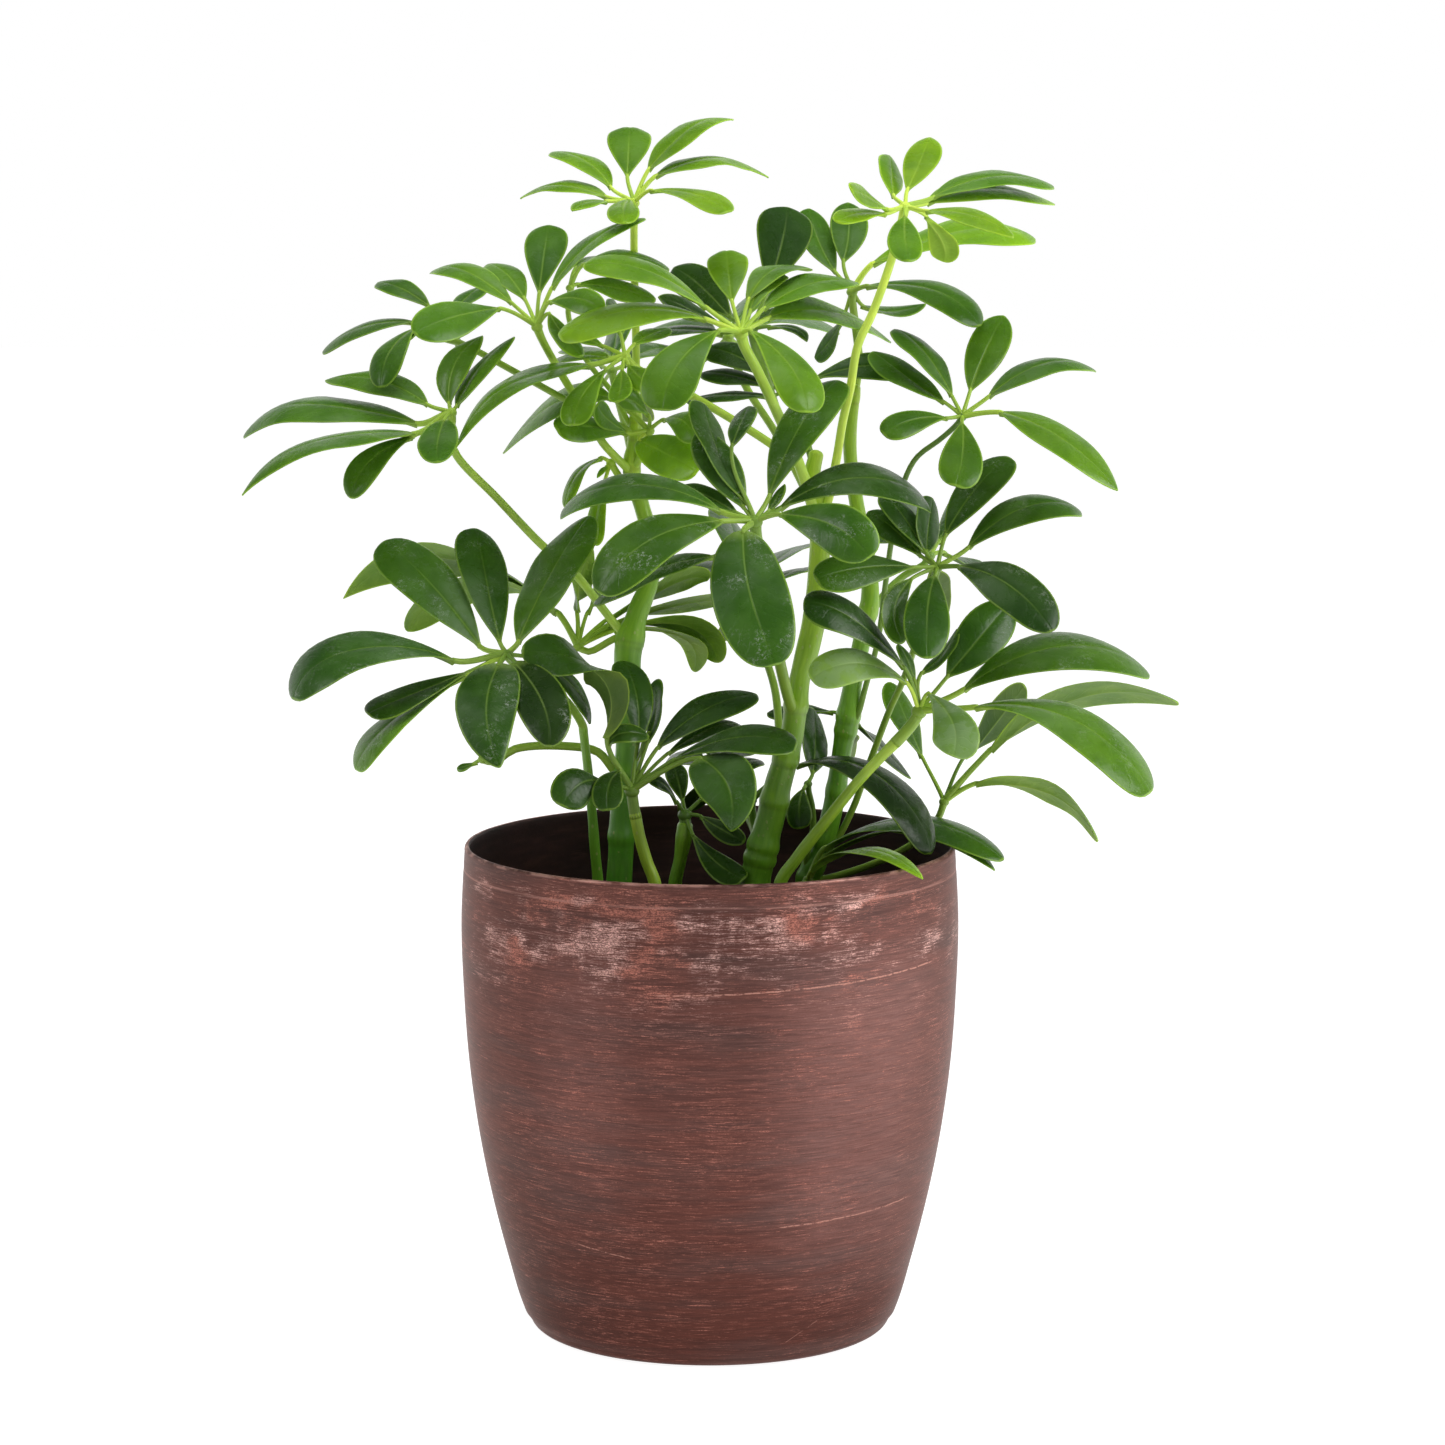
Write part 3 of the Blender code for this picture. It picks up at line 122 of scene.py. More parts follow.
# ---------------------------------------------------------------------------
# Compound leaves.  hub: where the leaflets meet (u, v, y); n: how far the axis
# of the leaf leans to the front and to the right, in degrees; via: the stalk's
# way down (u, v); on: the stem that carries it and where (u, v); r: stalk
# radius; age: 0 young and light to 1 old and dark.
# Leaflets: tip (u, v), middle (u, v), blade base (u, v), width seen, reach from
# the hub in mm, -1 towards the front or 1 towards the back, marks.
# Marks: p pointed, b blunt, e notched at the tip, n narrow, m narrower, u seen from below,
# and t<deg> for a twist along the blade.
# ---------------------------------------------------------------------------
LEAVES = {
    "A": dict(hub=(634, 203, 18), n=(18, 0), via=[(634, 246, 21), (635, 300, 25), (636, 350, 24), (636, 386, 18)],
              on=("main_left", 636, 415), r=1.25, age=0.05, lf=[
        ((520, 199), (563, 187), (607, 197), 16, 42, 1, "p", dict(q=(540, 189))),
        ((552, 153), (587, 163), (611, 188), 24, 44, 1, ""),
        ((572, 211), (587, 203), (606, 201), 13, 30, -1, "p"),
        ((630, 127), (629, 150), (627, 177), 46, 40, 1, "e"),
        ((734, 120), (687, 134), (648, 170), 27, 50, 1, "p", dict(q=(708, 121), a=0.85)),
        ((769, 178), (712, 161), (655, 176), 16, 50, 1, "p", dict(q=(740, 165))),
        ((728, 213), (693, 194), (650, 190), 22, 42, -1, "b"),
        ((625, 224), (623, 209), (628, 199), 33, 32, -1, ""),
    ]),
    "B": dict(hub=(905, 207, -14), n=(22, 8), via=[(893, 255, -16), (873, 312, -17), (858, 345, -17), (850, 390, -12), (843, 420, -7), (836, 462, -2)],
              on=("main_centre", 819, 508), r=1.35, age=0.0, lf=[
        ((930, 138), (920, 162), (907, 190), 34, 38, 1, ""),
        ((889, 156), (891, 176), (893, 196), 24, 34, 1, ""),
        ((851, 191), (866, 197), (888, 210), 22, 30, -1, ""),
        ((838, 223), (858, 214), (886, 214), 19, 34, -1, ""),
        ((908, 262), (905, 238), (905, 216), 36, 36, -1, ""),
        ((944, 262), (943, 243), (927, 216), 29, 30, 1, "u"),
        ((1014, 238), (970, 216), (926, 211), 22, 42, -1, "p"),
        ((1053, 187), (991, 178), (932, 198), 24, 54, 1, ""),
        ((1055, 205), (988, 190), (927, 203), 26, 58, 1, "p"),
    ]),
    "C": dict(hub=(852, 292, 30), n=(18, 0), via=[(856, 330, 33), (859, 362, 31)],
              on=("main_right", 859, 396), r=1.3, age=0.55, lf=[
        ((979, 327), (932, 291), (866, 286), 30, 52, -1, ""),
        ((1035, 240), (960, 232), (872, 264), 34, 64, 1, ""),
        ((848, 203), (848, 232), (843, 262), 40, 42, 1, ""),
        ((809, 209), (818, 240), (835, 272), 34, 42, 1, ""),
        ((926, 304), (893, 312), (862, 306), 14, 30, 1, "p"),
        ((815, 358), (831, 341), (845, 314), 18, 30, 1, ""),
    ]),
    "D": dict(hub=(537, 327, -14), n=(20, -12), via=[(556, 365, -5), (580, 405, -9), (594, 428, -2), (603, 443, -2)],
              on=("main_left", 634, 468), r=1.3, age=0.25, lf=[
        ((415, 335), (455, 317), (500, 308), 44, 50, -1, ""),
        ((432, 273), (470, 275), (512, 303), 27, 46, 1, "", dict(q=(448, 268))),
        ((488, 265), (508, 276), (525, 299), 28, 38, 1, ""),
        ((549, 226), (545, 255), (539, 294), 44, 44, 1, "b"),
        ((645, 219), (590, 244), (551, 289), 20, 52, 1, "", dict(q=(620, 226))),
        ((603, 312), (576, 299), (549, 301), 28, 30, -1, ""),
        ((582, 357), (564, 336), (550, 312), 20, 24, -1, ""),
    ]),
    "H": dict(hub=(438, 333, 6), n=(12, -20), via=[(460, 343, 5), (519, 374, 1), (570, 402, -5)],
              on=("main_left", 635, 432), r=1.1, age=0.6, lf=[
        ((323, 353), (365, 328), (415, 322), 17, 42, 1, ""),
        ((378, 283), (403, 289), (430, 306), 22, 33, 1, ""),
        ((382, 388), (391, 352), (414, 328), 32, 36, -1, ""),
        ((397, 343), (407, 336), (420, 331), 12, 18, -1, ""),
        ((482, 288), (466, 299), (448, 318), 20, 30, 1, ""),
        ((463, 347), (456, 341), (448, 335), 11, 13, 1, ""),
    ]),
    "E": dict(hub=(741, 334, -26), n=(25, 0), via=[(757, 370, -24), (775, 408, -18), (792, 446, -12), (803, 475, -8), (811, 502, -6)],
              on=("main_centre", 819, 520), r=1.7, age=0.2, lf=[
        ((583, 267), (648, 272), (707, 308), 27, 57, -1, ""),
        ((559, 338), (638, 312), (706, 319), 32, 62, -1, "b"),
        ((662, 411), (680, 362), (719, 330), 54, 50, -1, "b"),
        ((806, 413), (790, 366), (750, 330), 44, 46, -1, "b"),
        ((891, 343), (828, 311), (768, 318), 28, 59, 1, "p"),
        ((859, 284), (812, 284), (763, 309), 27, 48, 1, "p"),
        ((785, 276), (762, 286), (750, 312), 24, 32, 1, ""),
        ((807, 271), (773, 270), (748, 300), 24, 44, 1, ""),
        ((727, 250), (728, 275), (732, 302), 43, 40, 1, "e"),
    ]),
    "F": dict(hub=(625, 357, -5), n=(25, -8), via=[(690, 395, -5), (768, 442, -5), (799, 466, -4)],
              on=("main_centre", 815, 487), r=1.35, age=0.15, lf=[
        ((456, 448), (522, 385), (590, 365), 22, 64, -1, "p", dict(q=(485, 404))),
        ((574, 426), (583, 396), (606, 369), 32, 38, -1, "b"),
        ((670, 329), (648, 336), (633, 345), 18, 26, 1, ""),
        ((613, 300), (617, 318), (621, 335), 14, 30, 1, ""),
        ((560, 326), (582, 337), (603, 346), 15, 26, 1, ""),
        ((554, 361), (582, 355), (611, 358), 14, 30, 1, ""),
        ((650, 386), (638, 376), (628, 365), 27, 22, -1, "b"),
        ((618, 402), (621, 388), (622, 370), 24, 28, -1, ""),
    ]),
    "G": dict(hub=(451, 413, -18), n=(25, -15), via=[(450, 437, -17), (457, 456, -15), (497, 498, -8), (541, 544, -1), (575, 574, 1)],
              on=("main_left", 628, 634), r=1.35, age=0.4, lf=[
        ((244, 438), (322, 411), (418, 424), 30, 72, 1, "", dict(q=(277, 413))),
        ((242, 496), (322, 446), (415, 434), 19, 76, -1, "", dict(q=(274, 464), b=0.95)),
        ((352, 499), (370, 461), (412, 437), 32, 46, -1, ""),
        ((438, 463), (438, 441), (444, 420), 42, 36, -1, "", dict(a=0.55)),
        ((325, 381), (379, 382), (428, 405), 28, 48, 1, "p"),
        ((483, 336), (455, 365), (449, 405), 32, 32, 1, "p"),
        ((515, 337), (479, 370), (456, 407), 20, 36, 1, "p"),
    ]),
    "T": dict(hub=(649, 431, 2), n=(28, 0), via=[],
              on=("main_left", 634, 462), r=1.3, age=0.3, lf=[
        ((617, 397), (634, 401), (650, 415), 24, 17.5, -1, "b"),
        ((697, 442), (684, 421), (663, 419), 34, 28, -1, "b"),
        ((698, 472), (666, 454), (638, 441), 46, 32, -1, "b", dict(a=0.5, b=0.4)),
        ((556, 430), (592, 428), (628, 434), 30, 38, -1, "b"),
        ((597, 404), (605, 418), (627, 433), 24, 26, -1, ""),
        ((503, 454), (558, 403), (612, 398), 28, 56, 1, "p"),
    ]),
    "U": dict(hub=(611, 463, 9), n=(18, -25), via=[],
              on=("main_left", 632, 490), r=1.2, age=0.1, lf=[
        ((566, 508), (578, 474), (601, 457), 13, 26, -1, ""),
        ((597, 478), (603, 470), (608, 466), 6, 8, -1, "p"),
        ((597, 546), (597, 515), (604, 483), 19, 29.5, -1, ""),
    ]),
    "S": dict(hub=(752, 330, 16), n=(15, 0), via=[(764, 372, 7), (782, 425, 8), (802, 472, 9)],
              on=("main_centre", 816, 507), r=1.4, age=0.8, lf=[
        ((787, 208), (781, 243), (768, 290), 57, 50, 1, "b"),
        ((674, 268), (700, 287), (731, 318), 42, 42, 1, ""),
        ((658, 297), (686, 309), (722, 325), 22, 36, -1, "p"),
        ((655, 333), (685, 330), (722, 333), 14, 38, 1, ""),
        ((807, 342), (795, 329), (768, 326), 10, 22, -1, "p"),
    ]),
    "Y": dict(hub=(789, 389, 12), n=(15, 0), via=[(801, 425, 15), (814, 468, 12)],
              on=("main_centre", 817, 497), r=1.2, age=0.85, lf=[
        ((898, 370), (860, 367), (812, 379), 31, 38, 1, "b"),
        ((687, 402), (730, 396), (770, 397), 13, 36, 1, ""),
        ((701, 374), (735, 377), (768, 387), 20, 34, 1, ""),
        ((705, 350), (735, 356), (769, 378), 30, 36, 1, ""),
    ]),
    "V": dict(hub=(570, 288, 6), n=(10, 0), via=[(568, 312, 9), (576, 342, 13), (592, 368, 14), (612, 392, 12)],
              on=("main_left", 636, 424), r=0.9, age=0.35, lf=[
        ((669, 270), (626, 257), (583, 264), 20, 36, 1, ""),
        ((656, 300), (612, 288), (577, 284), 24, 30, 1, ""),
        ((612, 262), (594, 258), (575, 268), 10, 34, 1, "p"),
    ]),
    "I": dict(hub=(507, 655, -40), n=(28, -12), via=[(538, 678), (568, 703)],
              on=("shoot_left", 583, 728, "top"), r=1.35, age=0.75, lf=[
        ((295, 701), (372, 650), (455, 661), 42, 72, -1, "b", dict(q=(318, 666))),
        ((383, 542), (436, 591), (480, 647), 54, 60, 1, "b"),
        ((475, 529), (487, 585), (500, 643), 46, 52, 1, "b"),
        ((590, 516), (548, 580), (518, 643), 48, 60, 1, ""),
        ((500, 768), (486, 712), (499, 664), 66, 50, -1, "", dict(a=0.36, b=0.7)),
        ((549, 747), (543, 704), (514, 662), 52, 46, -1, "", dict(a=0.5, b=0.55)),
        ((590, 724), (578, 693), (540, 660), 16, 38, 1, "p"),
        ((368, 715), (410, 695), (468, 672), 27, 52, -1, "b"),
        ((357, 771), (393, 722), (466, 675), 26, 63, -1, "b"),
    ]),
    "J": dict(hub=(755, 522, -50), n=(30, 0), via=[(758, 545), (768, 600), (776, 645)],
              on=("main_centre", 796, 706), r=1.8, age=0.7, lf=[
        ((838, 381), (797, 432), (769, 497), 47, 60, 1, "b"),
        ((774, 666), (749, 598), (743, 531), 80, 56, -1, "b", dict(a=0.48, b=0.46, q=(765, 641))),
        ((870, 558), (832, 526), (779, 514), 54, 46, -1, "b", dict(a=0.75, b=0.42)),
        ((927, 507), (855, 480), (779, 509), 40, 60, 1, "b", dict(q=(905, 488))),
        ((563, 514), (640, 486), (722, 512), 34, 64, 1, "b", dict(q=(588, 495))),
        ((600, 594), (650, 541), (722, 521), 54, 60, -1, "b", dict(a=0.65, b=0.42)),
        ((698, 432), (723, 470), (744, 508), 40, 40, 1, ""),
        ((682, 486), (708, 497), (737, 513), 22, 30, 1, ""),
        ((749, 407), (739, 428), (731, 446), 22, 46, 1, "b"),
        ((785, 484), (778, 498), (769, 512), 10, 16, 1, "p"),
        ((702, 403), (716, 450), (747, 503), 26, 50, 1, "b"),
        ((594, 604), (655, 571), (714, 557), 20, 62, 1, ""),
    ]),
    "K": dict(hub=(962, 417, -12), n=(22, 15), via=[(950, 431), (938, 441), (918, 456), (907, 474), (895, 520), (886, 580), (878, 640), (866, 685)],
              on=("main_right", 849, 716), r=0.9, age=0.45, lf=[
        ((883, 435), (915, 420), (948, 418), 28, 32, -1, "b"),
        ((872, 352), (908, 378), (944, 402), 30, 44, 1, ""),
        ((894, 330), (926, 356), (952, 396), 27, 42, 1, ""),
        ((1004, 316), (984, 353), (970, 391), 40, 42, 1, ""),
        ((1096, 372), (1045, 365), (988, 397), 22, 50, 1, "p"),
        ((1118, 491), (1058, 437), (1000, 412), 36, 60, -1, "p", dict(q=(1094, 466))),
        ((956, 487), (963, 452), (962, 422), 46, 36, -1, "b"),
    ]),
    "L": dict(hub=(937, 568, -22), n=(25, 12), via=[(930, 600), (917, 640), (902, 683, 6), (890, 709, 12), (874, 751, 19), (865, 775, 21), (853, 808, 22)],
              on=("main_right", 826, 840), r=1.1, age=0.7, lf=[
        ((1008, 457), (971, 496), (945, 536), 38, 48, 1, "b"),
        ((1080, 513), (1022, 510), (968, 548), 33, 54, 1, "", dict(q=(1059, 505))),
        ((1052, 632), (1008, 584), (958, 566), 50, 50, -1, "", dict(a=0.7, q=(1037, 611))),
        ((928, 659), (927, 612), (935, 575), 48, 44, -1, ""),
        ((816, 581), (866, 568), (914, 567), 38, 46, -1, "b"),
        ((868, 512), (894, 530), (921, 556), 32, 34, 1, ""),
        ((882, 494), (905, 520), (925, 552), 26, 34, 1, ""),
        ((932, 498), (927, 526), (926, 553), 26, 28, 1, "u"),
        ((904, 643), (893, 610), (911, 578), 26, 32, -1, ""),
    ]),
    "M": dict(hub=(919, 712, -34), n=(25, 10), via=[],
              on=("shoot_right", 898, 740, "top"), r=1.9, age=0.6, lf=[
        ((803, 604), (853, 620), (905, 668), 37, 54, -1, "b"),
        ((811, 680), (860, 664), (907, 682), 36, 42, -1, "b"),
        ((1010, 603), (978, 640), (947, 677), 50, 50, 1, ""),
        ((1149, 676), (1056, 651), (963, 690), 42, 78, 1, "", dict(q=(1112, 655))),
        ((1150, 794), (1068, 720), (975, 707), 42, 84, -1, "b"),
        ((953, 757), (954, 724), (929, 692), 48, 30, -1, "b"),
        ((898, 644), (906, 658), (915, 680), 12, 24, 1, "p"),
        ((957, 629), (944, 654), (921, 672), 8, 32, 1, "p"),
    ]),
    "N": dict(hub=(944, 802, 16), n=(-15, 10), via=[(937, 820), (915, 842), (878, 862)],
              on=("main_right", 810, 876), r=1.2, age=0.5, lf=[
        ((889, 682), (905, 720), (922, 757), 28, 48, 1, ""),
        ((1025, 685), (995, 722), (964, 757), 34, 50, 1, "u"),
        ((1178, 703), (1080, 696), (990, 750), 30, 86, -1, "u"),
        ((1098, 842), (1044, 792), (976, 783), 20, 54, -1, "u", dict(q=(1077, 812))),
    ]),
    "O": dict(hub=(752, 800, 6), n=(15, 12), via=[(756, 828, 7)],
              on=("main_centre", 763, 846), r=1.3, age=0.95, lf=[
        ((929, 855), (871, 774), (796, 765), 32, 67, -1, "n", dict(q=(914, 818), b=0.45)),
    ]),
    "O2": dict(hub=(808, 784, 13), n=(10, 0), via=[(812, 805), (813, 828)],
              on=("main_right", 812, 866), r=1.0, age=0.9, lf=[
        ((801, 829), (799, 806), (803, 788), 26, 17, -1, "b"),
        ((812, 708), (815, 742), (813, 774), 26, 30, 1, "u"),
    ]),
    "P": dict(hub=(808, 880, 8), n=(-12, 20), via=[],
              on=("main_centre", 757, 892), r=1.2, age=0.65, lf=[
        ((1003, 861), (912, 823), (824, 848), 20, 66, -1, "n"),
        ((995, 871), (918, 828), (824, 856), 11, 64, -1, "pn"),
        ((923, 879), (867, 850), (812, 870), 17, 82, -1, "bm", dict(wd=8.8, a=0.6, b=0.7)),
    ]),
    "Q": dict(hub=(632, 791, -30), n=(22, 0), via=[],
              on=("shoot_front", 635, 814, "top"), r=1.8, age=0.8, lf=[
        ((521, 651), (602, 676), (607, 738), 44, 62.5, -1, "ut110"),
        ((649, 737), (620, 732), (603, 743), 20, 18, -1, ""),
        ((650, 737), (643, 746), (635, 759), 24, 20, 1, "u"),
        ((622, 661), (638, 700), (637, 748), 36, 46, 1, "b"),
        ((652, 684), (657, 706), (648, 742), 10, 40, 1, ""),
        ((757, 695), (703, 712), (657, 748), 32, 54, 1, ""),
        ((797, 746), (735, 739), (673, 760), 29, 56, -1, "b"),
        ((562, 807), (580, 784), (605, 782), 42, 30, -1, "b"),
        ((608, 811), (608, 784), (619, 768), 34, 20, -1, "b"),
        ((731, 832), (728, 787), (701, 757), 62, 44, -1, "b", dict(a=0.42, b=0.75)),
        ((741, 727), (714, 728), (668, 753), 18, 44, 1, ""),
    ]),
    "R": dict(hub=(685, 815, 6), n=(18, 0), via=[],
              on=("shoot_middle", 685, 826, "top"), r=1.9, age=0.95, lf=[
        ((649, 783), (663, 784), (678, 803), 12, 18, -1, ""),
        ((673, 764), (678, 782), (683, 802), 24, 22, 1, "b"),
        ((762, 762), (735, 768), (700, 800), 18, 34, 1, ""),
        ((745, 842), (722, 830), (701, 816), 22, 24.5, -1, ""),
        ((744, 880), (716, 864), (692, 834), 28, 34, -1, "b"),
    ]),
    "W": dict(hub=(848, 716, 40), n=(-10, 0), via=[],
              on=("main_right", 845, 730), r=1.2, age=0.9, lf=[
        ((911, 779), (881, 748), (858, 724), 13, 34, 1, "p"),
        ((767, 714), (800, 711), (833, 712), 16, 30, 1, ""),
        ((848, 664), (852, 684), (851, 705), 14, 36, 1, ""),
        ((846, 775), (850, 755), (850, 732), 13, 34, 1, ""),
    ]),
    "Z": dict(hub=(578, 647, 6), n=(-8, -5), via=[],
              on=("main_left", 628, 640), r=1.15, age=0.35, lf=[
        ((343, 599), (448, 562), (557, 612), 28, 82, 1, "ut-20", dict(q=(386, 569), a=0.6, b=0.95)),
        ((410, 632), (484, 583), (559, 613), 24, 60, 1, "u", dict(q=(432, 606))),
        ((592, 545), (578, 583), (577, 613), 24, 38, 1, "u"),
        ((612, 560), (598, 590), (587, 613), 18, 38, 1, "u"),
        ((718, 663), (684, 624), (614, 630), 24, 54, 1, "u"),
        ((694, 672), (682, 636), (612, 627), 11, 48, 1, "u"),
        ((707, 581), (674, 583), (606, 620), 20, 54, 1, "up"),
        ((735, 600), (670, 606), (608, 625), 12, 60, 1, "u"),
    ]),
    "X": dict(hub=(483, 759, -4), n=(15, -20), via=[(515, 749), (565, 746), (598, 752)],
              on=("main_left", 626, 772), r=1.35, age=0.5, lf=[
        ((457, 769), (466, 767), (476, 763), 8, 9.5, 1, "b"),
    ]),
    "K1": dict(hub=(752, 590, 46), n=(-48, 0), via=[(760, 640), (775, 690)],
              on=("main_centre", 787, 758), r=1.3, age=0.7, lf=[
        ((668, 572), (705, 570), (738, 584), 30, 54, 1, ""),
        ((724, 512), (735, 540), (747, 575), 30, 58, 1, ""),
        ((812, 547), (790, 552), (761, 575), 16, 56, 1, "b"),
        ((812, 571), (792, 573), (768, 586), 12, 54, 1, ""),
        ((776, 640), (768, 618), (757, 600), 28, 44, 1, ""),
        ((728, 640), (738, 620), (747, 603), 28, 46, 1, ""),
    ]),
    "K2": dict(hub=(728, 338, 56), n=(-42, 0), via=[(745, 385, 54), (775, 432, 42), (806, 492, 22)],
              on=("main_centre", 819, 524), r=1.3, age=0.5, lf=[
        ((640, 338), (680, 327), (715, 334), 30, 54, 1, ""),
        ((676, 396), (692, 372), (717, 348), 28, 46, 1, ""),
        ((798, 398), (770, 372), (740, 347), 28, 52, 1, ""),
        ((838, 332), (790, 318), (743, 331), 28, 56, 1, ""),
        ((708, 276), (716, 300), (725, 325), 26, 52, 1, ""),
        ((775, 282), (755, 300), (735, 326), 26, 54, 1, ""),
    ]),
    "K3": dict(hub=(930, 556, 34), n=(-30, 10), via=[(905, 575, 33), (886, 592, 30)],
              on=("main_right", 869, 612), r=1.2, age=0.8, lf=[
        ((872, 530), (892, 536), (918, 549), 28, 40, 1, ""),
        ((912, 500), (920, 518), (927, 543), 26, 46, 1, ""),
        ((985, 480), (962, 505), (938, 542), 28, 50, 1, "b"),
        ((1020, 602), (985, 576), (944, 552), 26, 46, 1, ""),
        ((935, 640), (938, 600), (932, 568), 28, 40, 1, ""),
    ]),
    "K4": dict(hub=(612, 372, 44), n=(-38, -8), via=[(618, 400, 40), (626, 430, 26)],
              on=("main_left", 634, 458), r=1.2, age=0.6, lf=[
        ((568, 350), (585, 352), (602, 366), 26, 44, 1, ""),
        ((622, 312), (618, 332), (613, 358), 28, 48, 1, ""),
        ((690, 356), (655, 350), (624, 365), 28, 48, 1, ""),
        ((640, 420), (634, 402), (619, 382), 26, 40, 1, ""),
        ((572, 418), (586, 400), (604, 381), 26, 44, 1, ""),
    ]),
    "K5": dict(hub=(712, 772, 44), n=(-40, 0), via=[(735, 800, 38), (752, 826, 20)],
              on=("main_centre", 762, 858), r=1.2, age=0.9, lf=[
        ((672, 756), (686, 758), (702, 768), 26, 36, 1, ""),
        ((712, 722), (711, 738), (712, 760), 26, 40, 1, ""),
        ((756, 742), (738, 750), (722, 765), 26, 38, 1, ""),
        ((744, 806), (732, 794), (719, 780), 24, 32, 1, ""),
        ((690, 812), (696, 798), (706, 782), 24, 34, 1, ""),
    ]),
}



def leaf_axis(n):
    return unit([math.tan(math.radians(n[1])), -math.tan(math.radians(n[0])), 1.0])


def stem_points(name):
    """Centre line of a stem as 3-D points with radii, from the soil up."""
    return [(at(u, v, y), r) for u, v, y, r in STEMS[name]]


def stem_at(name, v):
    """Centre, radius, depth and direction of a stem where it crosses row v."""
    pts = STEMS[name]
    if v > pts[0][1]:
        u, vv, y, r = pts[0]
        return at(u, v, y), r, y, np.array([0.0, 0.0, 1.0])
    for (u0, v0, y0, r0), (u1, v1, y1, r1) in zip(pts, pts[1:]):
        if v1 <= v <= v0:
            k = (v0 - v) / (v0 - v1)
            t = unit(at(u1, v1, y1) - at(u0, v0, y0))
            return at(u0 + k*(u1-u0), v, y0 + k*(y1-y0)), r0 + k*(r1-r0), y0 + k*(y1-y0), t
    (u0, v0, y0, r0), (u, vv, y, r) = pts[-2:]
    return at(u, vv, y), r, y, unit(at(u, vv, y) - at(u0, v0, y0))


def place(H, c, e1, e2, uv, s0, b0, ss, sb, sk):
    """The point near H + s0*c + b0*e1 that is seen at uv."""
    x0 = np.array([s0, b0, 0.0])
    x = x0.copy()
    sig = np.array([ss, sb, sk])
    dirs = (c, e1, e2)
    for _ in range(5):
        P = H + x[0]*c + x[1]*e1 + x[2]*e2
        q, w = seen(P)
        k = FOC / w
        J = np.array([[k * (d @ RGT) for d in dirs], [-k * (d @ UPV) for d in dirs]])
        A = np.vstack([J, np.diag(1.0 / sig)])
        y = np.concatenate([np.array(uv, float) - q, (x0 - x) / sig])
        x = x + np.linalg.lstsq(A, y, rcond=None)[0]
    return H + x[0]*c + x[1]*e1 + x[2]*e2


def turned(a, n, deg):
    k = math.radians(deg)
    return math.cos(k)*a + math.sin(k)*n


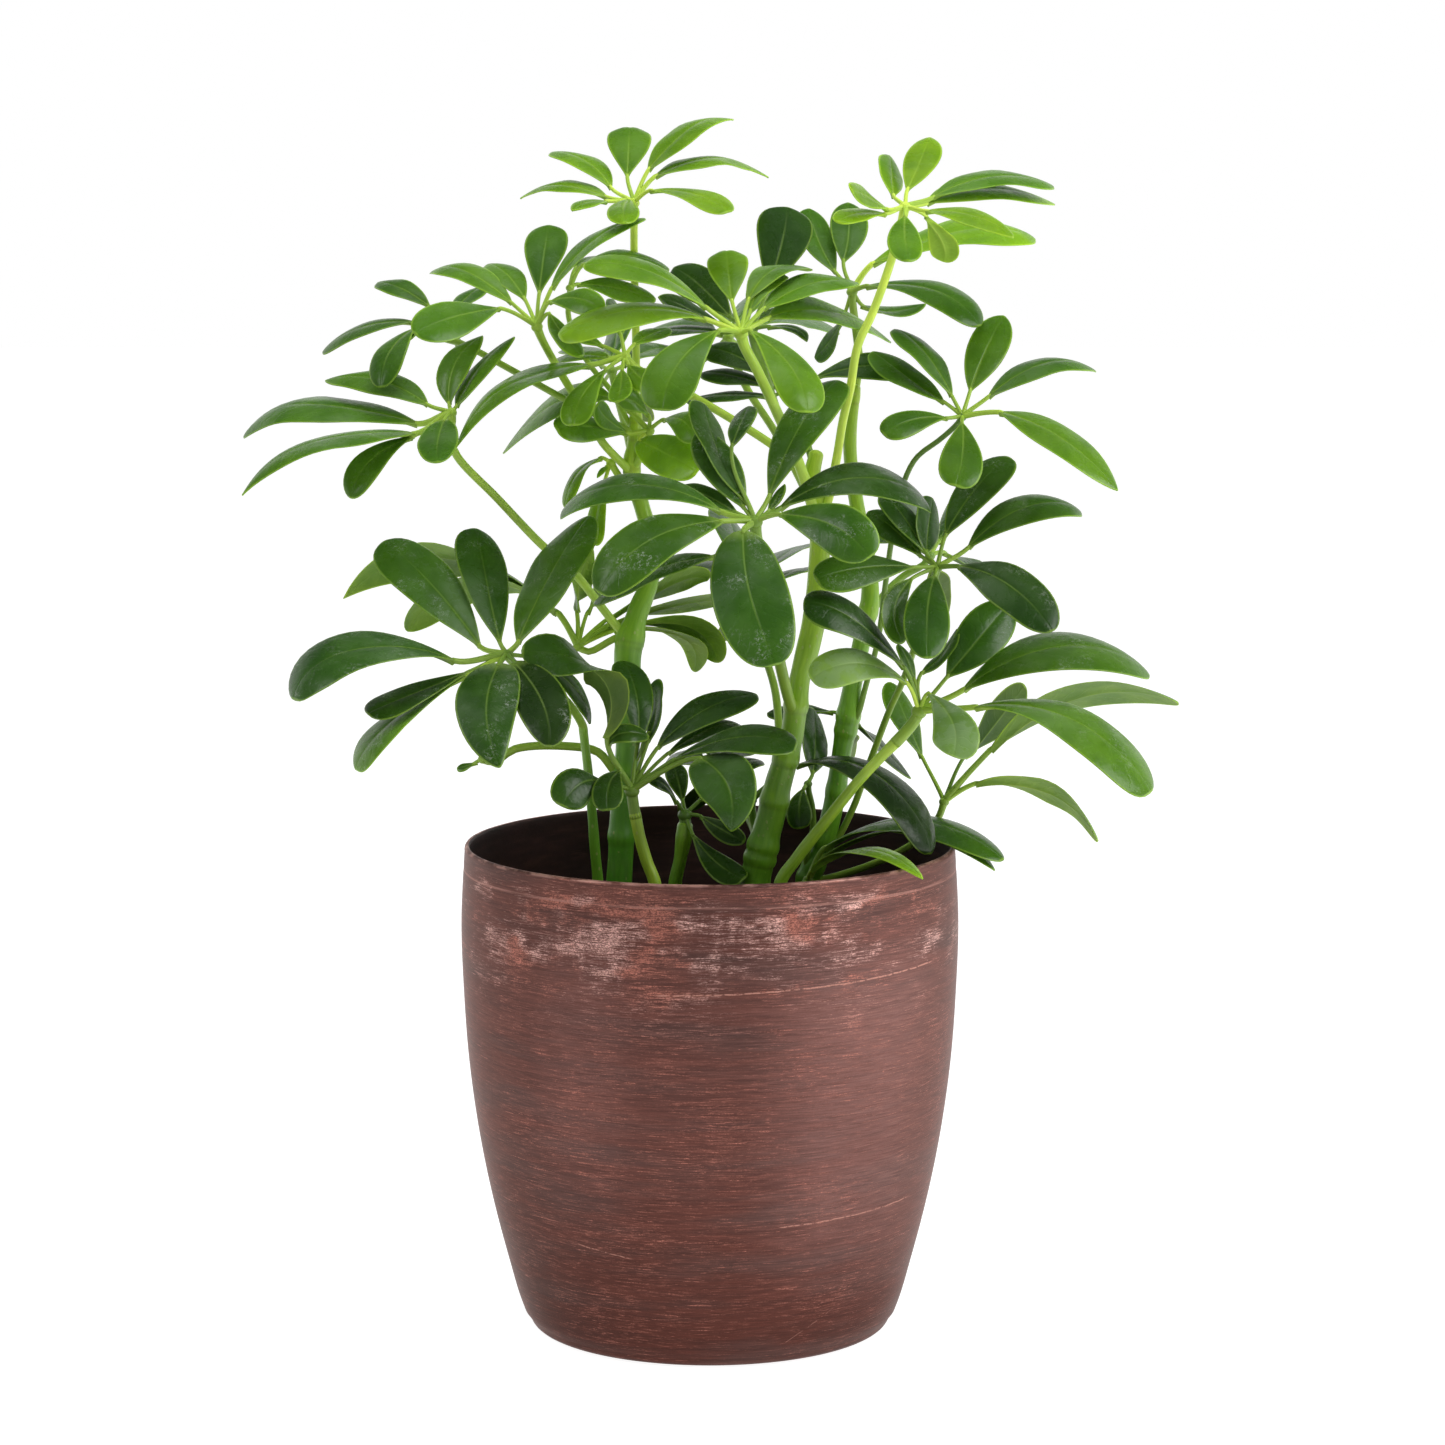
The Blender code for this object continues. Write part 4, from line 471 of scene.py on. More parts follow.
class Blade:
    """One leaflet: centre line B-M-T as a parabola, width, roll and twist."""

    def __init__(self, H, N, spec):
        tip, mid, base, w, R, s, marks = spec[:7]
        form = spec[7] if len(spec) > 7 else {}
        self.marks, self.form = marks, form
        flags = marks.split("t")
        self.twist = float(flags[1]) if len(flags) > 1 else 0.0
        flags = flags[0]
        self.under = "u" in flags
        d = ray(*tip)
        q = H - CAM
        a = q @ d
        perp = float(np.linalg.norm(q - a*d))
        R = max(R, 1.03 * perp)
        T = CAM + d * (a + s * math.sqrt(R*R - perp*perp))
        c = T - H
        L = float(np.linalg.norm(c))
        e1 = unit(N - (N @ c) * c / (L*L))
        e2 = unit(np.cross(c, e1))
        B = place(H, c, e1, e2, base, 0.18, 0.03*L, 0.07, 0.05*L, 0.04*L)
        M = place(H, c, e1, e2, mid, 0.58, 0.09*L, 0.09, 0.09*L, 0.05*L)
        self.H, self.B, self.M, self.T, self.N, self.R = H, B, M, T, N, R
        self.Q = 2*M - 0.5*(B + T)
        self.D = np.zeros(3)
        if "q" in form:
            near = self.point(0.8)
            (u, v), w80 = seen(near)
            self.D = (RGT*(form["q"][0] - u) - UPV*(form["q"][1] - v)) * (w80 / FOC)
        ts = np.linspace(0, 1, 17)
        pts = np.array([self.point(t) for t in ts])
        self.len = float(np.sum(np.linalg.norm(np.diff(pts, axis=0), axis=1)))
        cb = T - B
        self.a0 = unit(np.cross(cb, N))
        tm = unit(self.tangent(0.5))
        a_m = unit(self.a0 - (self.a0 @ tm) * tm)
        n_m = np.cross(a_m, tm)
        view = unit(M - CAM)
        k = FOC / seen(M)[1]
        t2 = np.array([tm @ RGT, -(tm @ UPV)])
        t2 = t2 / max(1e-6, float(np.linalg.norm(t2)))
        best = (1e9, 0, 0.39)
        sg = -1.0 if self.under else 1.0
        ratios = np.linspace(0.32, 0.50, 10)
        if "n" in flags:
            ratios = np.linspace(0.28, 0.34, 4)
        if "m" in flags:
            ratios = np.linspace(0.23, 0.26, 3)
        for ratio in ratios:
            for phi in range(-84, 85, 2):
                a = turned(a_m, n_m, phi)
                n = np.cross(a, tm)
                side = -(n @ view) * sg
                a2 = np.array([a @ RGT, -(a @ UPV)])
                pw = k * ratio * self.len * abs(a2[0]*t2[1] - a2[1]*t2[0])
                cost = ((pw - w)/2.0)**2 + (phi/30.0)**2 + ((ratio - 0.40)/0.05)**2
                if side < 0.03:
                    cost += 30.0 + 60.0*(0.03 - side)
                if cost < best[0]:
                    best = (cost, phi, ratio, pw)
        self.cost, self.phi, ratio, pw = best
        self.width = ratio * self.len
        if pw < 0.94 * w:
            self.width *= min(1.4, w / max(pw, 1.0))
        self.width = form.get("wd", self.width)
        self.want = w
        self.alpha, self.beta = 0.85, 0.52
        if "b" in flags:
            self.alpha, self.beta = 0.95, 0.40
        if "p" in flags:
            self.alpha, self.beta = 0.85, 0.80
        if "e" in flags:
            self.alpha, self.beta = 1.0, 0.34
        self.alpha, self.beta = form.get("a", self.alpha), form.get("b", self.beta)
        ta = self.alpha / (self.alpha + self.beta)
        self.norm = ta**self.alpha * (1-ta)**self.beta

    def point(self, t):
        return (1-t)**2 * self.B + 2*t*(1-t) * self.Q + t*t * self.T + self.D * (12.2*t**4*(1-t))

    def tangent(self, t):
        return 2*(1-t) * (self.Q - self.B) + 2*t * (self.T - self.Q) + self.D * (12.2*(4*t**3 - 5*t**4))

    def frame(self, t):
        """Point, along, across (to the right), normal (upper side)."""
        tt = unit(self.tangent(t))
        a = unit(self.a0 - (self.a0 @ tt) * tt)
        n = np.cross(a, tt)
        roll = self.phi * min(1.0, 0.35 + 1.3*t) + self.twist * max(0.0, (t - 0.45)/0.55)
        a = turned(a, n, roll)
        return self.point(t), tt, a, np.cross(a, tt)

    def half(self, t):
        t = min(max(t, 0.0), 1.0)
        return 0.5 * self.width * (t**self.alpha * (1-t)**self.beta) / self.norm


class Leaf:
    """A compound leaf: hub, axis, leaflets and stalk down to its stem."""

    def __init__(self, key):
        d = LEAVES[key]
        self.key, self.spec = key, d
        u, v, y = d["hub"]
        self.H = at(u, v, y)
        self.N = leaf_axis(d["n"])
        self.r = d["r"]
        self.blades = [Blade(self.H, self.N, s) for s in d["lf"]]
        # stalk: hub, via points and the stem's surface
        stem, us, vs = d["on"][:3]
        C, rs, ys, ts = stem_at(stem, vs)
        path = [(u, v)] + [p[:2] for p in d["via"]] + [(us, vs)]
        cum = [0.0]
        for a, b in zip(path, path[1:]):
            cum.append(cum[-1] + math.hypot(a[0]-b[0], a[1]-b[1]))
        pts = [self.H]
        for p, q, s in zip(d["via"], path[1:-1], cum[1:-1]):
            yy = p[2] if len(p) > 2 else y + (ys - y) * s / cum[-1]
            pts.append(at(q[0], q[1], yy))
        self.top = len(d["on"]) > 3
        if self.top:
            self.toward = ts
        else:
            w = pts[-1] - C
            self.toward = unit(w - (w @ ts)*ts)
        self.stem, self.C, self.rs, self.along = stem, C, rs, ts
        self.path = pts


def transport(X, t0, t1):
    """Turn X by the smallest turn that takes t0 to t1."""
    ax = np.cross(t0, t1)
    s = float(np.linalg.norm(ax))
    c = float(t0 @ t1)
    if s < 1e-9:
        return X
    ax = ax / s
    return X*c + np.cross(ax, X)*s + ax*(ax @ X)*(1-c)


POT_FLOOR = 5.0
SOIL_GAP = 0.3


def inner_radius(z):
    """Inside radius of the pot at height z."""
    return pot_radius(z) - (1.6 + 1.4*max(0.0, min(1.0, (160.0 - z)/60.0)))


def lathe(profile, n, caps=True):
    """Solid of revolution about Z from (r, z) points going from the axis out and back to it."""
    V, F = [], []
    rings = []
    for r, z in profile:
        if r < 1e-9:
            V.append(np.array([0.0, 0.0, z]))
            rings.append([len(V)-1])
        else:
            k = len(V)
            V.extend([np.array([r*math.cos(2*math.pi*i/n), r*math.sin(2*math.pi*i/n), z]) for i in range(n)])
            rings.append(list(range(k, k+n)))
    for a, b in zip(rings, rings[1:]):
        for i in range(n):
            j = (i+1) % n
            if len(a) == 1:
                F.append([a[0], b[j], b[i]])
            elif len(b) == 1:
                F.append([a[i], a[j], b[0]])
            else:
                F.append([a[i], a[j], b[j], b[i]])
    return V, F


# What single leaves and leaflets look like: age (tone), spots (dried water
# marks), sheen (painted pale patches for soft reflections), fold, ripple.  A key
# with a number is one leaflet.  Single leaflets' ages are partly their own tone
# and partly painted light and shade, set lighter or darker where light falls
# differently on them.
LOOK = {
    "I": dict(spots=0.7, sheen=0.7),
    "I2": dict(age=0.50, sheen=1.0), "I3": dict(age=0.70), "I5": dict(age=0.82), "I6": dict(age=1.05, sheen=0.2), "I9": dict(age=0.22, sheen=1.0), "I4": dict(age=0.42, sheen=1.0),
    "J": dict(spots=0.9, sheen=0.6),
    "J1": dict(age=0.58), "J4": dict(age=0.85), "J5": dict(age=0.52, sheen=1.0), "J6": dict(age=0.62), "J3": dict(age=0.58),
    "L": dict(spots=0.6, sheen=0.5),
    "L1": dict(age=0.75), "L3": dict(age=0.92), "L2": dict(age=0.55),
    "M": dict(spots=0.5, sheen=0.6),
    "M2": dict(age=-0.1, sheen=1.6), "M4": dict(age=0.45), "M5": dict(age=0.36), "M6": dict(age=0.20, sheen=1.4), "M1": dict(age=0.85),
    "A": dict(spots=0.0, sheen=0.5),
    "A4": dict(age=0.30),
    "B": dict(spots=0.0, sheen=0.3, stalk=0.0),
    "B5": dict(age=0.22), "B8": dict(age=0.26), "N2": dict(age=0.95),
    "C1": dict(sheen=0.0), "C2": dict(age=-0.12, sheen=0.0),
    "D4": dict(age=0.50),
    "E3": dict(age=0.40), "E4": dict(age=0.25), "E2": dict(age=0.0, sheen=1.0),
    "F1": dict(sheen=0.0),
    "G": dict(stalk=0.3),
    "K": dict(stalk=0.95),
    "K6": dict(age=0.25),
    "Z5": dict(age=0.0), "Z6": dict(age=0.2),
    "P3": dict(age=-0.3, sheen=1.0), "N4": dict(age=0.3),
    "S1": dict(age=0.88),
    "T3": dict(age=-0.22), "T": dict(age=0.2), "U": dict(age=-0.1), "U3": dict(age=-0.3, sheen=0.0),
}


# ---------------------------------------------------------------------------
# Fine form of a leaflet's skin
# ---------------------------------------------------------------------------
def gauss(x, s):
    return math.exp(-(x/s)**2)


def smoothstep(a, b, x):
    k = min(1.0, max(0.0, (x-a)/(b-a)))
    return k*k*(3-2*k)


def form_of(leaf, i):
    """How one leaflet is folded, arched and rippled."""
    b = leaf.blades[i]
    rng = random.Random("%s-%d" % (leaf.key, i))
    look = dict(LOOK.get(leaf.key, {}))
    look.update(LOOK.get("%s%d" % (leaf.key, i+1), {}))
    f = dict(
        age=min(1.0, max(-0.3, look.get("age", leaf.spec["age"]) + (0.0 if "age" in LOOK.get("%s%d" % (leaf.key, i+1), {}) else rng.uniform(-0.08, 0.08)))),
        rnd=rng.random(),
        fold=math.tan(math.radians(look.get("fold", rng.uniform(4.0, 12.0)))),
        arch=look.get("arch", rng.uniform(0.10, 0.22)),
        rip=look.get("ripple", rng.uniform(0.012, 0.045)),
        ph=rng.uniform(0, 6.28), fr=rng.uniform(1.2, 2.2),
        sick=rng.uniform(-0.02, 0.02) * b.width,
        notch=0.06*b.len if "e" in b.marks.split("t")[0] else 0.0,
        r0=max(0.62, min(0.95, 0.035*b.width + 0.1)),
        spots=look.get("spots", 0.25*leaf.spec["age"]),
        sheen=look.get("sheen", 0.5))
    return f


def section(b, f, t, last=False):
    """Frame of the blade's skin at t: centre, along, across, normal, half width."""
    P, tt, a, n = b.frame(t)
    h = b.half(t)
    h = math.sqrt(h*h + (f["r0"]*(1-t)**6)**2)
    if last and not f["notch"]:
        h = 0.0
    if f["notch"]:
        h = max(h, b.width*0.10*smoothstep(0.9, 1.0, t))
    drop = f["arch"]*h*(0.5+0.8*t) - f["fold"]*h*0.9*(1-t)**0.7
    P = P + a*(f["sick"]*math.sin(math.pi*t)) + n*(0.6*drop)
    return P, tt, a, n, h


def skin(b, f, t, x, sec):
    """Point of the blade's middle surface at t along and x across."""
    P, tt, a, n, h = sec
    y = x*h
    z = f["fold"]*abs(y)*(1-t)**0.7*0.9 - f["arch"]*abs(y)*abs(x)*(0.5+0.8*t)
    z += f["rip"]*h*abs(x)**2.5*math.sin(6.2832*f["fr"]*t + f["ph"] + (1.3 if x > 0 else 0.0))
    z -= 0.28*gauss(y, 0.9)*(1-t)**0.5
    q = P + a*y + n*z
    if f["notch"]:
        q = q - tt*(f["notch"]*gauss(x, 0.5)*smoothstep(0.8, 1.0, t)) - tt*(0.05*b.len*x*x*smoothstep(0.85, 1.0, t))
    return q


# ---------------------------------------------------------------------------
# Mesh builder: vertices in mm, faces with a material index, several UV layers
# ---------------------------------------------------------------------------
LAYERS = ("place", "dist", "tone", "extra")


class Mesh:
    def __init__(self):
        self.v, self.f, self.m, self.uv = [], [], [], {k: [] for k in LAYERS}

    def put(self, pts, **uv):
        """Vertices with per-vertex UV pairs; missing layers get zeros."""
        k = len(self.v)
        self.v.extend([tuple(map(float, p)) for p in pts])
        for name in LAYERS:
            vals = uv.get(name)
            if vals is None:
                vals = [(0.0, 0.0)] * len(pts)
            elif isinstance(vals, tuple):
                vals = [vals] * len(pts)
            self.uv[name].extend([tuple(map(float, q)) for q in vals])
        return list(range(k, k + len(pts)))

    def face(self, idx, mat=0):
        self.f.append(tuple(idx))
        self.m.append(mat)

    def build(self, name, mats, smooth=True):
        me = bpy.data.meshes.new(name)
        me.from_pydata([(x*0.001, y*0.001, z*0.001) for x, y, z in self.v], [], self.f)
        me.polygons.foreach_set("material_index", self.m)
        me.polygons.foreach_set("use_smooth", [smooth] * len(self.f))
        loops = np.empty(len(me.loops), dtype=np.int32)
        me.loops.foreach_get("vertex_index", loops)
        for layer in LAYERS:
            arr = np.array(self.uv[layer], dtype=np.float32)
            if not arr.any():
                continue
            lay = me.uv_layers.new(name=layer)
            lay.data.foreach_set("uv", arr[loops].ravel())
        for mat in mats:
            me.materials.append(mat)
        me.update()
        me.validate(clean_customdata=False)
        ob = bpy.data.objects.new(name, me)
        bpy.context.scene.collection.objects.link(ob)
        return ob


def smooth_path(pts, step):
    """Catmull-Rom through 3-D points, sampled about every step mm."""
    pts = [np.asarray(p, float) for p in pts]
    if len(pts) == 2:
        n = max(2, int(np.linalg.norm(pts[1]-pts[0]) / step))
        return [pts[0] + (pts[1]-pts[0])*i/n for i in range(n+1)], [i/n for i in range(n+1)]
    ext = [2*pts[0] - pts[1]] + pts + [2*pts[-1] - pts[-2]]
    out, par = [], []
    for i in range(1, len(ext)-2):
        p0, p1, p2, p3 = ext[i-1:i+3]
        d = [max(1e-6, float(np.linalg.norm(b-a))**0.5) for a, b in ((p0, p1), (p1, p2), (p2, p3))]
        t0, t1 = 0.0, d[0]
        t2, t3 = t1 + d[1], t1 + d[1] + d[2]
        n = max(2, int(np.linalg.norm(p2-p1) / step))
        for k in range(n + (1 if i == len(ext)-3 else 0)):
            t = t1 + (t2-t1)*k/n
            a1 = p0*(t1-t)/(t1-t0) + p1*(t-t0)/(t1-t0)
            a2 = p1*(t2-t)/(t2-t1) + p2*(t-t1)/(t2-t1)
            a3 = p2*(t3-t)/(t3-t2) + p3*(t-t2)/(t3-t2)
            b1 = a1*(t2-t)/(t2-t0) + a2*(t-t0)/(t2-t0)
            b2 = a2*(t3-t)/(t3-t1) + a3*(t-t1)/(t3-t1)
            out.append(b1*(t2-t)/(t2-t1) + b2*(t-t1)/(t2-t1))
            par.append(i - 1 + k/n)
    return out, par


def tube(mesh, pts, rad, n, mat, tone, extra=(0.0, 0.0), cap=(True, True), ref=None, oval=1.0):
    """Round tube; place = (length in cm, turn), dist = (0..1 along, radius)."""
    X = np.array([1.0, 0.0, 0.0]) if ref is None else np.asarray(ref, float)
    tp, prev, s = None, None, 0.0
    first = None
    N = len(pts)
    for q in range(N):
        if q == 0:
            t = unit(pts[1] - pts[0])
        elif q == N-1:
            t = unit(pts[-1] - pts[-2])
        else:
            t = unit(pts[q+1] - pts[q-1])
        if tp is None:
            X = X - (X @ t)*t
            if np.linalg.norm(X) < 1e-3:
                X = np.cross(t, [0.0, 0.0, 1.0])
        else:
            X = transport(X, tp, t)
            s += float(np.linalg.norm(pts[q] - pts[q-1]))
        X = unit(X)
        Y = np.cross(t, X)
        tp = t
        r = rad[q]
        ring = []
        for i in range(n):
            a = 2*math.pi*i/n
            ring.append(pts[q] + r*(math.cos(a)*X + oval*math.sin(a)*Y))
        tn = tone[q] if isinstance(tone, list) else tone
        ex = extra[q] if isinstance(extra, list) else extra
        cur = mesh.put(ring, place=[(s*0.1, i/n) for i in range(n)], dist=[(q/(N-1), r)]*n, tone=[tn]*n, extra=[ex]*n)
        if prev is not None:
            for i in range(n):
                j = (i+1) % n
                mesh.face((prev[i], prev[j], cur[j], cur[i]), mat)
        else:
            first = cur
        prev = cur
    if cap[0]:
        mesh.face(first[::-1], mat)
    if cap[1]:
        mesh.face(prev, mat)
    return X


COLS = (-1.0, -0.965, -0.89, -0.76, -0.58, -0.38, -0.2, -0.08, 0.0, 0.08, 0.2, 0.38, 0.58, 0.76, 0.89, 0.965, 1.0)
UPPER, UNDER, STALK = 0, 1, 2


def blade_surface(mesh, leaf, index):
    """Upper and under side of one leaflet, joined along the margin, and its short stalk."""
    b = leaf.blades[index]
    f = form_of(leaf, index)
    age, r0, notch = f["age"], f["r0"], f["notch"]
    tone = (age, f["rnd"])
    extra = (f["spots"], f["sheen"])
    rows = 16 + int(b.len / 6.0)
    up, dn = [], []
    for i in range(rows+1):
        t = 0.5*(1 - math.cos(math.pi*i/rows))
        sec = section(b, f, t, i == rows)
        P, tt, a, n, h = sec
        pu, pd, pl, di = [], [], [], []
        xs = COLS
        for x in xs:
            q = skin(b, f, t, x, sec)
            y = x*h
            th = 0.30*(1 - 0.75*x*x)
            rib = (0.75*r0*(1-t)**1.1)*gauss(y, 0.75)
            base = (1-t)**8
            if abs(x) < 1.0:
                pu.append(q + n*(th + base*0.35*r0*(1-x*x)**0.5))
                pd.append(q - n*(th + rib + base*0.5*r0*(1-x*x)**0.5))
            else:
                pu.append(q)
                pd.append(q)
            ed = min((1-abs(x))*h, (1-t)*b.len*0.8)
            pl.append((t, 0.5 + 0.5*x))
            di.append((ed/20.0, abs(y)/20.0))
        if h == 0.0:
            iu = mesh.put([pu[0]], place=[(1.0, 0.5)], dist=[(0.0, 0.0)], tone=[tone], extra=[extra])
            up.append(iu*len(xs))
            dn.append(iu*len(xs))
        else:
            m = len(xs)
            iu = mesh.put(pu, place=pl, dist=di, tone=[tone]*m, extra=[extra]*m)
            inner = mesh.put(pd[1:-1], place=pl[1:-1], dist=di[1:-1], tone=[tone]*(m-2), extra=[extra]*(m-2))
            up.append(iu)
            dn.append([iu[0]] + inner + [iu[-1]])
    m = len(COLS)
    for i in range(rows):
        for j in range(m-1):
            q = [up[i][j], up[i][j+1], up[i+1][j+1], up[i+1][j]]
            w = [dn[i][j+1], dn[i][j], dn[i+1][j], dn[i+1][j+1]]
            for ring, mat in ((q, UPPER), (w, UNDER)):
                ring = [k for p, k in enumerate(ring) if k not in ring[:p]]
                if len(ring) >= 3:
                    mesh.face(ring, mat)
    # blunt end of a notched blade
    if notch:
        ring = up[rows] + dn[rows][::-1]
        for j in range(m-1):
            a_, b_, c_, d_ = up[rows][j], up[rows][j+1], dn[rows][j+1], dn[rows][j]
            ids = [k for p, k in enumerate((a_, b_, c_, d_)) if k not in (a_, b_, c_, d_)[:p]]
            if len(ids) >= 3:
                mesh.face(ids, UNDER)
    # the leaflet's own short stalk, from inside the hub to just inside the blade
    P0, t0, a0, n0 = b.frame(0.0)
    A = leaf.H + leaf.N*0.2
    end = P0 + t0*1.2
    d = float(np.linalg.norm(P0 - A))
    out = unit(P0 - A)
    c1 = A + unit(out + 0.12*leaf.N)*d*0.35
    c2 = P0 - unit(t0 + 0.8*out)*d*0.35
    pts, rad = [], []
    k = max(5, int(d/1.6))
    for i in range(k+1):
        s = i/k
        pts.append((1-s)**3*A + 3*s*(1-s)**2*c1 + 3*s*s*(1-s)*c2 + s**3*P0)
        rad.append(r0*(1.0 + 0.35*(1-s)**2 + 0.05*s))
    pts.append(end)
    rad.append(r0*0.8)
    tube(mesh, pts, rad, 10, STALK, (age*0.8, tone[1]), ref=a0)


def leaf_mesh(key):
    leaf = Leaf(key)
    mesh = Mesh()
    for i in range(len(leaf.blades)):
        blade_surface(mesh, leaf, i)
    age = LOOK.get(key, {}).get("stalk", leaf.spec["age"])
    # hub: a small swelling where the leaflets meet
    rh = leaf.r + 0.12*len(leaf.blades)**0.5 + 0.35
    X = unit(np.cross([0.0, 1.0, 0.0], leaf.N))
    Y = np.cross(leaf.N, X)
    rings, seg = [], 16
    for i in range(1, 9):
        a = math.pi*i/9
        rings.append(mesh.put([leaf.H + leaf.N*(0.85*rh*math.cos(a)) + rh*math.sin(a)*(math.cos(2*math.pi*j/seg)*X + math.sin(2*math.pi*j/seg)*Y)
                               for j in range(seg)], place=[(i*0.1, j/seg) for j in range(seg)], dist=(0.0, rh), tone=(age, 0.5)))
    top = mesh.put([leaf.H + leaf.N*0.85*rh], tone=(age, 0.5))[0]
    bot = mesh.put([leaf.H - leaf.N*0.85*rh], tone=(age, 0.5))[0]
    for j in range(seg):
        k = (j+1) % seg
        mesh.face((top, rings[0][j], rings[0][k]), STALK)
        mesh.face((bot, rings[-1][k], rings[-1][j]), STALK)
        for a, c in zip(rings, rings[1:]):
            mesh.face((a[j], c[j], c[k], a[k]), STALK)
    # long stalk down to the stem
    if leaf.top:
        ends = [leaf.C + leaf.toward*0.6, leaf.C - leaf.toward*1.5]
    else:
        ends = [leaf.C + leaf.toward*(leaf.rs*0.9), leaf.C + leaf.toward*0.2 - leaf.along*1.2]
    pts = list(leaf.path)
    first = unit(pts[1] - leaf.H) if len(pts) > 1 else unit(ends[0] - leaf.H)
    far = float(np.linalg.norm((pts[1] if len(pts) > 1 else ends[0]) - leaf.H))
    pts.insert(1, leaf.H + unit(first*0.75 - leaf.N*0.5)*min(4.0, 0.35*far))
    line, par = smooth_path(pts + ends, 2.2)
    total = len(line)
    rad, tones = [], []
    for i in range(total):
        s = i/(total-1)
        r = leaf.r*(1.0 + 0.16*gauss(s, 0.06) + 0.10*s)
        if not leaf.top:
            r += 0.55*leaf.r*gauss(1-s, max(0.02, 3.5/max(6.0, total*2.2)))
        else:
            r += (leaf.rs*1.02 - r)*smoothstep(1.0 - min(0.5, 6.0/(total*2.2)), 1.0, s)
        rad.append(r)
        tones.append((age*(1-0.3*s), 0.3 + 0.3*s))
    tube(mesh, line, rad, 12, STALK, tones, ref=X)
    mats = [LEAF_UPPER, LEAF_UNDER, STALKS]
    name = "leaf_" + key.lower()
    ob = mesh.build("fine_" + name, mats)
    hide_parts(name)
    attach(ob, "root")
    return ob


# ---------------------------------------------------------------------------
# Material graphs
# ---------------------------------------------------------------------------
def lin(r, g, b):
    """0-255 display colour as linear RGBA."""
    out = []
    for c in (r, g, b):
        c /= 255.0
        out.append(c/12.92 if c <= 0.04045 else ((c+0.055)/1.055)**2.4)
    return (out[0], out[1], out[2], 1.0)


